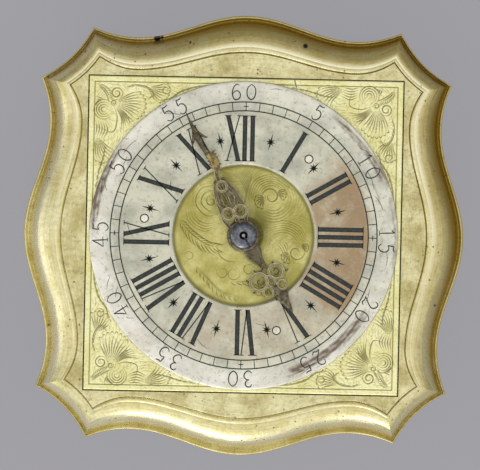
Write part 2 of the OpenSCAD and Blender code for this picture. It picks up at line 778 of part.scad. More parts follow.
// Places of the pivots [place, radius in the back plate, radius in the front plate]
function pivots() = [
    [[0, 0], 0.8, centre_shaft_r], [third_p, pivot_r, pivot_r],
    [contrate_p, pivot_r, pivot_r], [fusee_p, fusee_shaft_r, 1],
    [barrel_p, barrel_pivot_r, barrel_pivot_r], [verge_p, verge_r + 0.2, fine_pivot_r]
];

module plate_blank(z, which) translate([0, 0, z]) difference() {
    translate([-plate_w / 2, -plate_w / 2, 0]) cube([plate_w, plate_w, plate_t]);
    for (p = pivots()) translate([p[0].x, p[0].y, -1])
        cylinder(r = p[which] + running_fit, h = plate_t + 2);
    corners(pillar_at) translate([0, 0, -1]) cylinder(r = 1.5 + fixed_fit, h = plate_t + 2);
}

module front_plate() color(brass) difference() {
    plate_blank(front_z, 2);
    for (a = [0:90:270]) rotate(a) translate([dial_foot_at, 0, front_z - 1])
        cylinder(r = dial_foot_r * 0.75 + fixed_fit, h = plate_t + 2);
}

module back_plate() color(brass) difference() {
    plate_blank(back_z, 1);
    at(cock_p, back_z - 1) cylinder(r = 0.9 + fixed_fit, h = plate_t + 2);
}

module pillars() color(brass) corners(pillar_at) translate([0, 0, gap_z]) difference() {
    union() {
        rotate_extrude() polygon([
            for (q = [[0, 0], [2.6, 0], [2.6, 0.05], [1.6, 0.1], [1.3, 0.22], [2.2, 0.36],
                [2.6, 0.5], [2.2, 0.64], [1.3, 0.78], [1.6, 0.9], [2.6, 0.95], [2.6, 1], [0, 1]])
                [q[0], q[1] * pillar_h]
        ]);
        translate([0, 0, -plate_t]) cylinder(r = 1.5, h = pillar_h + 2 * plate_t + 2.2);
    }
    translate([0, 0, pillar_h + plate_t + 1.1]) rotate([90, 0, 0])
        cylinder(r = 0.4 + fixed_fit, h = 8, center = true);
}

module pillar_pins() color(steel) corners(pillar_at)
    translate([0, 0, front_top + 1.1]) rotate([90, 0, 0])
        cylinder(r = 0.4, h = 5, center = true);

module barrel() color(brass) at(barrel_p, gap_z + barrel_h) difference() {
    cylinder(r = barrel_r, h = barrel_top_h - barrel_h - cap_t);
    translate([0, 0, barrel_floor]) cylinder(r = barrel_r - barrel_wall, h = pillar_h);
    translate([0, 0, -1]) cylinder(r = barrel_shaft_r + running_fit, h = 5);
}

module barrel_cap() color(brass) at(barrel_p, gap_z + barrel_top_h - cap_t)
    linear_extrude(cap_t) ring(barrel_r, barrel_shaft_r + running_fit);

module barrel_arbor() color(steel) at(barrel_p, gap_z) {
    shaft(barrel_shaft_r, barrel_pivot_r);
    for (h = [barrel_h - 1.3, barrel_top_h + 0.3]) translate([0, 0, h])
        cylinder(r = barrel_shaft_r + 1, h = 1);
    translate([0, 0, pillar_h]) cylinder(r = barrel_pivot_r, h = plate_t + 2.4);
}

module spiral(c0, c1, r0, r1, w) ribbon(curl([0, 0], r0, c0, r1, c1, w, w, ceil(abs(c1 - c0) / 15)));

module mainspring() color(steel)
    at(barrel_p, gap_z + barrel_h + barrel_floor + 0.5)
        linear_extrude(barrel_top_h - barrel_h - cap_t - barrel_floor - 1)
            spiral(0, 2520, barrel_shaft_r + 0.5, barrel_r - barrel_wall - 0.5, 0.45);

module setup_ratchet() color(steel) at(barrel_p, front_top + 0.1) linear_extrude(1.2)
    difference() {
        polygon(ratchet_points(18, 5.5, 0.9));
        circle(barrel_pivot_r + fixed_fit);
    }

module setup_click() color(steel) at(barrel_p, front_top) {
    linear_extrude(1.2) union() {
        translate(polar(9.5, 205)) circle(1.4);
        ribbon([for (q = [[9.5, 205, 1.6], [8, 222, 1.4], [6.2, 240, 0.8]])
            let (p = polar(q[0], q[1])) [p.x, p.y, q[2]]]);
    }
    at(polar(9.5, 205), 1.2) cylinder(r = 1.1, h = 0.6);
}

module chain() color(steel) translate([0, 0, gap_z + chain_h - chain_w / 2]) {
    d = barrel_p - fusee_p;
    lean = asin((chain_barrel_r - chain_fusee_r) / norm(d));
    tangent = atan2(d.y, d.x) + 90 + lean;
    linear_extrude(chain_w) ribbon(concat(
        curl(barrel_p, chain_barrel_r, tangent - 300, chain_barrel_r, tangent, chain_t, chain_t, 40),
        curl(fusee_p, chain_fusee_r, tangent, chain_fusee_r, tangent + 200, chain_t, chain_t, 24)));
}

module fusee() color(brass) at(fusee_p, gap_z) {
    rotate_extrude() polygon(concat(
        [[0, fusee_h]],
        [
            for (i = [0:fusee_turns - 1],
                q = [[0, 0], [0.06, 0], [0.08, -groove_depth], [0.92, -groove_depth], [0.94, 0]])
                let (h = fusee_h + groove * (i + q[0]))
                [fusee_at(fusee_h + groove * (i + 0.5)) + q[1], h]
        ],
        [[fusee_r, fusee_top_h - 0.15], [fusee_r, fusee_top_h], [0, fusee_top_h]]));
    translate([0, 0, fusee_top_h - 0.1]) linear_extrude(2) polygon(ratchet_points(20, 5.5, 0.8));
    translate([0, 0, -plate_t - 0.3]) cylinder(r = fusee_shaft_r, h = plate_t + pillar_h);
    translate([0, 0, fusee_top_h]) cylinder(r = 1, h = pillar_h - fusee_top_h + plate_t);
    translate([0, 0, -plate_t - 3.2])
        cube([winding_square, winding_square, 6], center = true);
    translate([0, 0, fusee_h - 0.8]) linear_extrude(1)
        polygon([for (a = [0:30:330]) polar(3 + a / 300, a)]);
}

module great_wheel() color(brass) at(fusee_p, gap_z + great_h)
    wheel(great_n, great_m, great_t, fusee_shaft_r + running_fit, 12, 2, 5, 3, fusee_turn + 180);

// Click on the great wheel's face that catches the fusee's ratchet
module winding_click() color(steel) at(fusee_p, gap_z + great_h - 1.3) {
    at(polar(9.8, 20), 0) cylinder(r = 1.4, h = 1.3);
    linear_extrude(1.3) ribbon([for (q = [[9.8, 20, 1.6], [8.4, 40, 1.4], [6.5, 60, 0.8]])
        let (p = polar(q[0], q[1])) [p.x, p.y, q[2]]]);
}

// Arm that stops the winding when the fusee is full
module stop_arm() color(steel) at(stop_p, gap_z + 0.6) difference() {
    union() {
        cylinder(r = 2, h = 1.2);
        linear_extrude(1.2) ribbon([[0, 0, 2], [-4, 5.5, 1.6], [-9, 11.5, 1.2]]);
    }
    translate([0, 0, -1]) cylinder(r = 1 + running_fit, h = 4);
}

module stop_post() color(steel) at(stop_p, gap_z) {
    cylinder(r = 1, h = 2.6);
    cylinder(r = 1.8, h = 0.4);
    translate([0, 0, 2]) cylinder(r = 1.8, h = 0.6);
}

module centre_arbor() color(steel) difference() {
    translate([0, 0, gap_z]) {
        translate([0, 0, end_play]) cylinder(r = 1.6, h = pillar_h - 2 * end_play);
        translate([0, 0, -plate_t]) cylinder(r = 0.8, h = plate_t + 1);
        translate([0, 0, 1]) cylinder(r = centre_shaft_r, h = collet_z - gap_z - 1);
        translate([0, 0, 1]) cylinder(r = tip_r, h = collet_z + 1.1 - gap_z - 1);
        translate([0, 0, great_h - 1])
            pinion(centre_pinion_n, centre_pinion_n * great_m / 2, great_t + 1.6, 0,
                fusee_turn + 180 / centre_pinion_n);
    }
    translate([0, 0, collet_z + collet_h - 0.78]) rotate(-slit_angle) rotate([-90, 0, 0])
        cylinder(r = 0.2 + fixed_fit, h = 2, center = true);
}

module centre_wheel() color(brass) translate([0, 0, gap_z + centre_h])
    wheel(centre_n, centre_m, 1.2, 1.6 + fixed_fit, 3.2, 1.2, 4, 1.3, third_turn);

module third_arbor() color(steel) at(third_p, gap_z) {
    shaft(0.8, pivot_r);
    translate([0, 0, centre_h - 1])
        pinion(third_pinion_n, third_pinion_n * centre_m / 2, 3.2, 0,
            third_turn + 180 + 180 / third_pinion_n);
}

module third_wheel() color(brass) at(third_p, gap_z + third_h)
    wheel(third_n, third_m, 1, 0.8 + fixed_fit, 2, 1, 4, 1.1, contrate_turn);

module contrate_arbor() color(steel) at(contrate_p, gap_z) {
    shaft(0.8, pivot_r);
    translate([0, 0, third_h - 1])
        pinion(contrate_pinion_n, contrate_pinion_n * third_m / 2, 3, 0,
            contrate_turn + 180 + 180 / contrate_pinion_n);
}

// Wheel whose teeth stand up from its rim
module contrate_wheel() color(brass) at(contrate_p, gap_z + contrate_h) {
    root = contrate_tip_h - contrate_h - 1.2;
    linear_extrude(0.8) union() {
        ring(contrate_r + 0.5, contrate_r - 1.2);
        ring(2, 0.8 + fixed_fit);
        for (a = [0:90:270]) rotate(a) translate([1.4, -0.5]) square([contrate_r - 2, 1]);
    }
    linear_extrude(root) ring(contrate_r + 0.5, contrate_r - 0.5);
    for (i = [0:contrate_n - 1]) rotate(90 + 360 / contrate_n * i)
        translate([contrate_r - 0.4, -0.2, root - 0.1]) cube([0.8, 0.4, 1.3]);
}

// Escape wheel on its level arbor, with teeth towards the verge
module crown_wheel() color(brass) translate([crown_x, 0, gap_z + crown_h]) {
    rotate([-90, 0, 0]) {
        translate([0, 0, mesh_y - 3]) cylinder(r = 0.7, h = crown_tip_y - mesh_y + 3);
        translate([0, 0, mesh_y - 4.8])
            cylinder(r = fine_pivot_r, h = crown_tip_y - mesh_y + 5.5);
        translate([0, 0, mesh_y - 1.3]) pinion(crown_pinion_n, crown_pinion_r, 2.6, 0,
            90 + 180 / crown_pinion_n);
        translate([0, 0, crown_y]) linear_extrude(0.6) union() {
            ring(crown_r, crown_r - 1.6);
            circle(1.6);
            for (a = [0:90:270]) rotate(a) translate([0, -0.5]) square([crown_r - 0.8, 1]);
        }
        translate([0, 0, crown_y]) linear_extrude(1.4) ring(crown_r, crown_r - 0.9);
        for (i = [0:crown_n - 1]) rotate(360 / crown_n * i)
            translate([crown_r - 0.1, 0, crown_y + 1.3]) rotate([0, -90, 0]) linear_extrude(0.7)
                polygon([[0, -0.55], [0, 0.55], [1.7, -0.3], [1.7, -0.5]]);
    }
}

module potence() color(brass) difference() {
    union() {
        translate([crown_x + crown_r + 1.6, verge_y - 3, gap_z]) cube([3.6, 4.6, crown_h + 1.5]);
        translate([crown_x - 1, crown_tip_y + 0.25, gap_z + crown_h - 1])
            cube([crown_r + 2.8, 0.5, 2]);
    }
    translate([crown_x, crown_tip_y, gap_z + crown_h]) rotate([-90, 0, 0])
        cylinder(r = fine_pivot_r + running_fit, h = 1);
}

module counter_potence() color(brass) difference() {
    translate([crown_x - 2, mesh_y - 4.9, gap_z + crown_h - 0.6])
        cube([4, 1.7, pillar_h - crown_h + 0.6]);
    translate([crown_x, mesh_y - 6, gap_z + crown_h]) rotate([-90, 0, 0])
        cylinder(r = fine_pivot_r + running_fit, h = 4);
}

module verge() color(steel) at(verge_p, 0) {
    translate([0, 0, cock_z + cock_t + 0.1])
        cylinder(r = verge_r, h = front_z - 0.3 - cock_z - cock_t - 0.1);
    translate([0, 0, cock_z + 0.5]) cylinder(r = fine_pivot_r, h = front_top - cock_z - 0.5);
    for (g = [-1, 1]) translate([0, 0, gap_z + crown_h + g * (crown_r - 0.5)])
        rotate(-90 + 48 * g) translate([0, -0.15, -0.9]) cube([pallet_len, 0.3, 1.5]);
}

module balance_wheel() color(brass) at(verge_p, balance_z) {
    linear_extrude(balance_t) difference() {
        union() {
            ring(balance_r, balance_r - 1.8);
            circle(2);
            for (a = [20:120:260]) rotate(a) translate([0, -0.7]) square([balance_r - 1, 1.4]);
        }
        circle(verge_r + fixed_fit);
    }
    translate([0, 0, balance_t - 0.01]) linear_extrude(spring_z - balance_z - balance_t + spring_h)
        ring(1.5, verge_r + fixed_fit);
}

module balance_spring() color(blued) at(verge_p, spring_z) linear_extrude(spring_h)
    spiral(-60, 1380, 1.8, spring_r, 0.16);

module balance_cock() color(gilt) {
    along = atan2(cock_p.y - verge_p.y, cock_p.x - verge_p.x);
    difference() {
        union() {
            at(verge_p, cock_z) linear_extrude(cock_t) union() {
                ring(9.5, 7.6);
                circle(2);
                for (a = [0:60:300]) rotate(along + a) translate([0, -0.7]) square([8.4, 1.4]);
                rotate(along) translate([8.6, -2.2]) square([19, 4.4]);
            }
            at(cock_p, cock_z) rotate(along) translate([-2.6, -4, 0])
                cube([6, 8, back_z - cock_z]);
        }
        at(verge_p, cock_z - 1) cylinder(r = fine_pivot_r + running_fit, h = cock_t + 2);
        at(cock_p, cock_z - 1) cylinder(r = 0.9 + fixed_fit, h = back_z - cock_z + 2);
    }
}

module cock_screws() color(steel) at(cock_p, cock_z - 1)
    screw(1.8, 1, 0.9, back_z - cock_z + plate_t - 0.4);

module regulator_index() color(brass) at(verge_p, regulator_z) {
    linear_extrude(1) union() {
        ring(regulator_r + 1.2, regulator_r);
        ribbon([for (q = [[8.8, 1.6], [12, 1], [15, 0.3]])
            let (p = polar(q[0], 150)) [p.x, p.y, q[1]]]);
    }
    at(polar(regulator_r + 0.5, 100), spring_z - regulator_z - 0.2)
        cylinder(r = 0.3, h = regulator_z - spring_z + 0.3);
}

module spring_stud() color(steel) at(verge_p, spring_z - 0.3) rotate(1380 % 360)
    translate([spring_r + 0.12, -0.5, 0]) cube([0.6, 1, back_z - spring_z + 0.3]);

top_frame();
case_wall();
base_frame();
window_panes();
window_clips();
feet();
case_rods();
bottom_door();
door_glass();
door_glass_ring();
door_knob();
door_hinge_leaf();
door_hinge_pin();
dial_plate();
chapter_ring();
ring_rivets();
dial_feet();
dial_foot_pins();
dial_dogs();
hour_hand();
minute_hand();
hand_collet();
collet_pin();
cannon_pinion();
hour_wheel();
minute_wheel();
minute_wheel_stud();
front_plate();
back_plate();
pillars();
pillar_pins();
barrel();
barrel_cap();
barrel_arbor();
mainspring();
setup_ratchet();
setup_click();
chain();
fusee();
great_wheel();
winding_click();
stop_arm();
stop_post();
centre_arbor();
centre_wheel();
third_arbor();
third_wheel();
contrate_arbor();
contrate_wheel();
crown_wheel();
potence();
counter_potence();
verge();
balance_wheel();
balance_spring();
balance_cock();
cock_screws();
regulator_index();
spring_stud();
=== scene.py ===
"""Looks of the horizontal table clock: gilt case, engraved dial, silvered ring, carved hands and movement."""
import math

import bpy
import numpy as np
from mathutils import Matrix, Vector


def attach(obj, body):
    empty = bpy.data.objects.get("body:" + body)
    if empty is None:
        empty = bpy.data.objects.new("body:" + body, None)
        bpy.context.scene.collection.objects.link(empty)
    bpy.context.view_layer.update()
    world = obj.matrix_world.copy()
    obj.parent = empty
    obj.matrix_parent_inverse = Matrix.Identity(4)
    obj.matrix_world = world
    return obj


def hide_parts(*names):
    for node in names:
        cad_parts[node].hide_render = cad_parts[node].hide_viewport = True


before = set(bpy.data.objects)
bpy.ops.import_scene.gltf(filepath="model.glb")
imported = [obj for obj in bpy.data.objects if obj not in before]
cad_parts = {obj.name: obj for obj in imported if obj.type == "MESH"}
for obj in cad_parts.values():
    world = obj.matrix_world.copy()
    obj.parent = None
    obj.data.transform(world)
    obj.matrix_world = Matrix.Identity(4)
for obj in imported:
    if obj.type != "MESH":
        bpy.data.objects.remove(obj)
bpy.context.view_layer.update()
MM = 0.001
TAU = 2 * math.pi

# Sizes of the case and dial in millimetres, as in the solids
CASE_TOP = 61.0
FOOT_H = 8.0
TOP_FRAME_H = 12.0
BASE_FRAME_H = 11.0
BAND_HALF = 54.0
LEDGE_T = 1.5
DOOR_ROOM = 2.9
DOOR_HALF = 39.3
DOOR_HOLE_HALF = 35
DIAL_HALF = 50.0
DIAL_GAP = 0.3
DIAL_T = 1.6
RING_OUT = 49.2
RING_IN = 22.4
RING_T = 1.0
RING_TOP = CASE_TOP + RING_T
DIP_AT = 35.0
OUTER_EDGE = {"mid": 70.3, "dip": 62.7, "horn": 65.7, "horn_at": 49.3, "hollow": 1.9}
LAND_EDGE = {"mid": 58.0, "dip": 51.9, "horn": 55.8, "horn_at": 46.85, "hollow": 0.6}
OGEE_DROP = 7.35
HOUR_ANGLE = 146.3
MINUTE_ANGLE = 333.7
SLIT_ANGLE = 148.8
RIVET_AT = 32.0
RIVET_ANGLES = (39.4, 159.7, 278.7)


# Small helpers for shapes

def on_circle(radius, degrees):
    """Point at an angle measured anticlockwise from +X."""
    a = math.radians(degrees)
    return np.array([radius * math.cos(a), radius * math.sin(a)])


def turn(points, degrees):
    """Points turned anticlockwise about the dial's middle."""
    a = math.radians(degrees)
    p = np.array(points, float)
    out = p.copy()
    out[..., 0] = p[..., 0] * math.cos(a) - p[..., 1] * math.sin(a)
    out[..., 1] = p[..., 0] * math.sin(a) + p[..., 1] * math.cos(a)
    return out


def smooth_through(keys, steps):
    """A smooth line through key points, with a few steps between each two."""
    k = np.array(keys, float)
    padded = np.vstack([2 * k[0] - k[1], k, 2 * k[-1] - k[-2]])
    out = []
    for a, b, c, d in zip(padded[:-3], padded[1:-2], padded[2:-1], padded[3:]):
        for t in np.arange(steps) / steps:
            out.append(0.5 * (2 * b + (c - a) * t + (2 * a - 5 * b + 4 * c - d) * t * t
                              + (3 * b - a - 3 * c + d) * t ** 3))
    out.append(k[-1])
    return np.array(out)


def directions(line, closed=False):
    """Unit direction of a line at each of its points."""
    d = np.roll(line, -1, axis=0) - np.roll(line, 1, axis=0) if closed else np.gradient(line, axis=0)
    return d / np.maximum(np.linalg.norm(d, axis=1), 1e-9)[:, None]


def spiral(centre, r0, r1, a0, a1, count=24):
    """A curl round a centre from radius r0 and angle a0 to r1 and a1."""
    t = np.linspace(0, 1, count)
    a = np.radians(a0 + (a1 - a0) * t)
    r = r0 + (r1 - r0) * t
    return np.stack([centre[0] + r * np.cos(a), centre[1] + r * np.sin(a)], axis=1)


def grid_faces(rows, columns, row_closed, column_closed, offset=0):
    """Quads of a grid of points that may close on itself either way."""
    i = np.arange(rows if row_closed else rows - 1)
    j = np.arange(columns if column_closed else columns - 1)
    i, j = np.meshgrid(i, j, indexing="ij")
    i2, j2 = (i + 1) % rows, (j + 1) % columns
    quads = np.stack([i * columns + j, i2 * columns + j, i2 * columns + j2, i * columns + j2], axis=-1)
    return quads.reshape(-1, 4) + offset


class Shape:
    """Points in millimetres and faces that become one mesh."""

    def __init__(self):
        self.points, self.faces, self.marks, self.count = [], [], {}, 0

    def add(self, points, faces, **marks):
        """Adds points and faces, with marks that a material reads at each point."""
        points = np.asarray(points, float)
        self.points.append(points)
        self.faces.extend([[int(v) + self.count for v in f] for f in faces])
        for name, values in marks.items():
            self.marks.setdefault(name, []).append((self.count, np.broadcast_to(values, len(points))))
        self.count += len(points)
        return self

    def prism(self, outline, z0, z1, **marks):
        """An upright prism on an anticlockwise outline."""
        p = np.asarray(outline, float)
        n = len(p)
        if np.sum(p[:, 0] * np.roll(p[:, 1], -1) - np.roll(p[:, 0], -1) * p[:, 1]) < 0:
            p = p[::-1]
        points = np.vstack([np.c_[p, np.full(n, z0)], np.c_[p, np.full(n, z1)]])
        sides = [[i, (i + 1) % n, n + (i + 1) % n, n + i] for i in range(n)]
        return self.add(points, [list(range(n))[::-1], list(range(n, 2 * n))] + sides, **marks)

    def lathe(self, profile, segments=48, centre=(0, 0), **marks):
        """A turned shape on an upright axis, from a closed profile of [radius, z] going anticlockwise."""
        profile = np.asarray(profile, float)
        a = np.arange(segments) / segments * TAU
        r, z = profile[:, 0], profile[:, 1]
        points = np.stack([centre[0] + np.outer(np.cos(a), r), centre[1] + np.outer(np.sin(a), r),
                           np.tile(z, (segments, 1))], axis=-1).reshape(-1, 3)
        return self.add(points, grid_faces(segments, len(profile), True, True), **marks)


def make_piece(name, shape, material, body, replaces=(), sharp=32):
    """Turns a shape into a piece of the clock."""
    mesh = bpy.data.meshes.new(name)
    mesh.from_pydata((np.vstack(shape.points) * MM).tolist(), [], shape.faces)
    for mark, runs in shape.marks.items():
        values = np.zeros(shape.count, np.float32)
        for start, run in runs:
            values[start:start + len(run)] = run
        mesh.attributes.new(mark, "FLOAT", "POINT").data.foreach_set("value", values)
    mesh.materials.append(material)
    mesh.update()
    settle(name, mesh, body, replaces, sharp)


def settle(name, mesh, body, replaces, sharp):
    """Smooths a mesh up to its sharp edges, makes it a piece at the origin, ties it to its body and hides the
    solids it replaces.
    """
    mesh.shade_smooth()
    mesh.set_sharp_from_angle(angle=math.radians(sharp))
    piece = bpy.data.objects.new(name, mesh)
    bpy.context.scene.collection.objects.link(piece)
    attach(piece, body)
    if replaces:
        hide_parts(*replaces)


# Materials

# Inputs of a colour mix: its share, the first colour and the second
SHARE, FIRST, SECOND = 0, 6, 7


def linear(code):
    """Linear colour of an sRGB hex value."""
    values = [int(code[i:i + 2], 16) / 255 for i in (1, 3, 5)]
    return tuple(v / 12.92 if v <= 0.04045 else ((v + 0.055) / 1.055) ** 2.4 for v in values) + (1.0,)


def per_mm(size):
    """Scale of a pattern in metres whose features are this many millimetres wide."""
    return 1000 / size


def add(tree, kind, inputs=None, **settings):
    """Adds a node with its settings and links.

    An input takes a value, a hex colour, a socket, or a node, whose first live output is linked."""
    made = tree.nodes.new(kind)
    for key, value in settings.items():
        setattr(made, key, value)
    for key, value in (inputs or {}).items():
        if isinstance(value, bpy.types.Node):
            value = next(output for output in value.outputs if output.enabled)
        if isinstance(value, bpy.types.NodeSocket):
            tree.links.new(value, made.inputs[key])
        else:
            made.inputs[key].default_value = linear(value) if isinstance(value, str) else value
    return made


def cleared(owner):
    """The empty node tree of a material or a world."""
    owner.use_nodes = True
    owner.node_tree.nodes.clear()
    return owner.node_tree


def blank(name):
    """A new material, its empty tree and the place on the piece in its own coordinates."""
    material = bpy.data.materials.new(name)
    tree = cleared(material)
    return material, tree, add(tree, "ShaderNodeTexCoord").outputs["Object"]


def marks_of(tree, *names):
    """Marks that the mesh carries, by name."""
    return [add(tree, "ShaderNodeAttribute", attribute_name=name).outputs["Fac"] for name in names]


def clouds(tree, place, size, detail, roughness=0.5, low=0.0, high=1.0, top=1.0):
    """Noise with features of a size in millimetres, and its share from a low level to a high one."""
    noise = add(tree, "ShaderNodeTexNoise", {"Vector": place, "Scale": per_mm(size), "Detail": detail,
                                             "Roughness": roughness})
    return noise, add(tree, "ShaderNodeMapRange", {"Value": noise, "From Min": low, "From Max": high,
                                                   "To Max": top})


def specks(tree, place, size, inner, outer, top=1.0):
    """Round specks about this many millimetres apart, dark inside one radius and gone outside another."""
    cells = add(tree, "ShaderNodeTexVoronoi", {"Vector": place, "Scale": per_mm(size), "Randomness": 1.0})
    return add(tree, "ShaderNodeMapRange", {"Value": cells.outputs["Distance"], "From Min": inner,
                                            "From Max": outer, "To Min": top, "To Max": 0.0})


def laid(tree, tone, share, colour):
    """A colour laid over a tone, as far as a pattern or the mark of that name says."""
    if isinstance(share, str):
        share, = marks_of(tree, share)
    return add(tree, "ShaderNodeMix", {SHARE: share, FIRST: tone, SECOND: colour}, data_type="RGBA")


def shade(tree, tone, relief, rough, more):
    """Ends a material's tree with one shader.

    The relief is a pattern, a strength and a depth in millimetres. The roughness is one value or input, or a
    pattern, two levels of it and the roughness at each."""
    pattern, strength, depth = relief
    bump = add(tree, "ShaderNodeBump", {"Height": pattern, "Strength": strength, "Distance": depth * MM})
    if isinstance(rough, tuple):
        pattern, low, high, smooth, dull = rough
        rough = add(tree, "ShaderNodeMapRange", {"Value": pattern, "From Min": low, "From Max": high,
                                                 "To Min": smooth, "To Max": dull})
    if "Coat Weight" in more:
        more["Coat Normal"] = bump
    shader = add(tree, "ShaderNodeBsdfPrincipled",
                 {"Base Color": tone, "Normal": bump, "Roughness": rough, **more})
    add(tree, "ShaderNodeOutputMaterial", {"Surface": shader})


def land_tone(tree, place, cloudy, streak):
    """Gilding of the flat land: paler than the moulding's, brushed along it and stained."""
    brushed = add(tree, "ShaderNodeMapRange", {"Value": streak, "From Min": 0.44, "From Max": 0.7,
                                               "To Max": 0.4})
    stained = clouds(tree, place, 4, 7.0, 0.78, 0.55, 0.7, 0.6)[1]
    tone = laid(tree, laid(tree, "#f5eeb7", cloudy, "#cabd7b"), brushed, "#b5a268")
    return laid(tree, tone, stained, "#8b7747")


def wear_of_gilding(tree, place, tone, grime):
    """Lays dirt and painted shade, fresh metal, painted highlight, dark nicks and pits over the gilding; gives
    the tone and the pits.
    """
    burnished, nick = marks_of(tree, "burnished", "nick")
    # Olive brown dirt, deepened as painted shade on the side away from the light
    tone = laid(tree, tone, grime, "#9a7d20")
    tone = laid(tree, tone, "fresh", "#c6b052")
    # Painted highlight: pale cream on the roll near the top and the slope at the lower left
    rubbed = add(tree, "ShaderNodeMath", {0: burnished, 1: 0.75}, operation="MULTIPLY")
    tone = laid(tree, tone, rubbed, "#fff6cc")
    # Near black in the nicks and the quirk line, and as painted shade on the walls of the gap round the dial
    nicked = add(tree, "ShaderNodeMapRange", {"Value": nick, "From Min": 0.22, "From Max": 0.5})
    tone = laid(tree, tone, nicked, "#241a0c")
    pit_here = clouds(tree, place, 7, 2.0, 0.5, 0.46, 0.6)[1]
    pits = specks(tree, place, 2.1, 0.06, 0.19)
    pits = add(tree, "ShaderNodeMath", {0: pits, 1: pit_here}, operation="MULTIPLY")
    return laid(tree, tone, pits, "#4d3a18"), pits


def cast_gilt_brass():
    """Gilt brass, cast and polished: pale gold with painted highlight, olive brown with dirt and painted shade.

    Streaks follow the moulding, the land is brushed and stained, small pits and nicks are dark, the dial's gap
    has painted shade."""
    material, tree, place = blank("cast_gilt_brass")
    across, along, land, grime = marks_of(tree, "across", "along", "land", "hollow")
    cloudy = clouds(tree, place, 10, 5.0, 0.6, 0.4, 0.62)[1]
    tone = laid(tree, "#ede4a9", cloudy, "#d7ca7f")

    long_way = add(tree, "ShaderNodeMath", {0: along, 1: 0.045}, operation="MULTIPLY")
    path = add(tree, "ShaderNodeCombineXYZ", {"X": across, "Y": long_way, "Z": 0.0})
    streak = add(tree, "ShaderNodeTexNoise", {"Vector": path, "Scale": 1.5, "Detail": 4.0, "Roughness": 0.6})
    streaky = add(tree, "ShaderNodeMapRange", {"Value": streak, "From Min": 0.5, "From Max": 0.72,
                                               "To Max": 0.65})
    tone = laid(tree, tone, streaky, "#ab943f")
    tone = laid(tree, tone, land, land_tone(tree, place, cloudy, streak))
    mottle, faded = clouds(tree, place, 1.2, 5.0, 0.72, 0.48, 0.7, 0.45)
    tone, pits = wear_of_gilding(tree, place, laid(tree, tone, faded, "#857540"), grime)

    rough = add(tree, "ShaderNodeMapRange", {"Value": mottle, "From Min": 0.3, "From Max": 0.7,
                                             "To Min": 0.17, "To Max": 0.32})
    rough = add(tree, "ShaderNodeMath", {0: land, 1: 0.2, 2: rough}, operation="MULTIPLY_ADD")
    dent = add(tree, "ShaderNodeTexNoise", {"Vector": place, "Scale": per_mm(4), "Detail": 6.0,
                                            "Roughness": 0.6})
    height = add(tree, "ShaderNodeMath", {0: streak, 1: 0.4, 2: dent}, operation="MULTIPLY_ADD")
    height = add(tree, "ShaderNodeMath", {0: pits, 1: -0.35, 2: height}, operation="MULTIPLY_ADD")
    polish = add(tree, "ShaderNodeMath", {0: land, 1: -0.4, 2: 0.68}, operation="MULTIPLY_ADD")
    polish = add(tree, "ShaderNodeMath", {0: grime, 1: -1.1, 2: polish}, operation="MULTIPLY_ADD",
                 use_clamp=True)
    shade(tree, tone, (height, 0.42, 0.4), rough, {"Metallic": 0.62, "Coat Weight": polish,
                                                   "Coat Roughness": 0.2, "Coat IOR": 1.9})
    return material


def rolled_gilt_brass():
    """Brass sheet, rolled, rubbed down and gilt: warm gold, level grain, dull bloom and a few dark specks."""
    material, tree, place = blank("rolled_gilt_brass")
    level = add(tree, "ShaderNodeMapping", {"Vector": place, "Scale": (0.06, 0.06, 1.0)})
    grain, grained = clouds(tree, level, 0.5, 3.0, 0.5, 0.5, 0.8, 0.5)
    bloom, bloomed = clouds(tree, place, 14, 5.0, 0.6, 0.42, 0.66)
    tone = laid(tree, "#d8bf72", bloomed, "#b3954c")
    tone = laid(tree, tone, grained, "#a88c48")
    tone = laid(tree, tone, specks(tree, place, 3.4, 0.05, 0.11, 0.8), "#4d3a18")
    shade(tree, tone, (grain, 0.4, 0.08), (bloom, 0.3, 0.7, 0.26, 0.42), {"Metallic": 0.92})
    return material


def engraved_brass():
    """Brass sheet, engraved by hand: greenish yellow, soft sheen, old dirt standing in the cuts and painted
    shadow round the hands.
    """
    material, tree, place = blank("engraved_brass")
    cloudy = clouds(tree, place, 7, 4.0, 0.5, 0.4, 0.62)[1]
    grain, grained = clouds(tree, place, 0.8, 3.0, 0.5, 0.5, 0.75, 0.4)
    tone = laid(tree, "#fffabf", cloudy, "#f1eaa6")
    tone = laid(tree, tone, "middle", laid(tree, "#d8d086", cloudy, "#b3aa59"))
    # Painted shadow of the hands, and painted shade at the boss and inside the ring's edge
    tone = laid(tree, tone, "oiled", "#625d18")
    tone = laid(tree, tone, grained, "#9c9150")
    tone = laid(tree, tone, "cut", "#5e561f")
    shade(tree, tone, (grain, 0.35, 0.1), (grain, 0.3, 0.7, 0.36, 0.48), {"Metallic": 0.65})
    return material


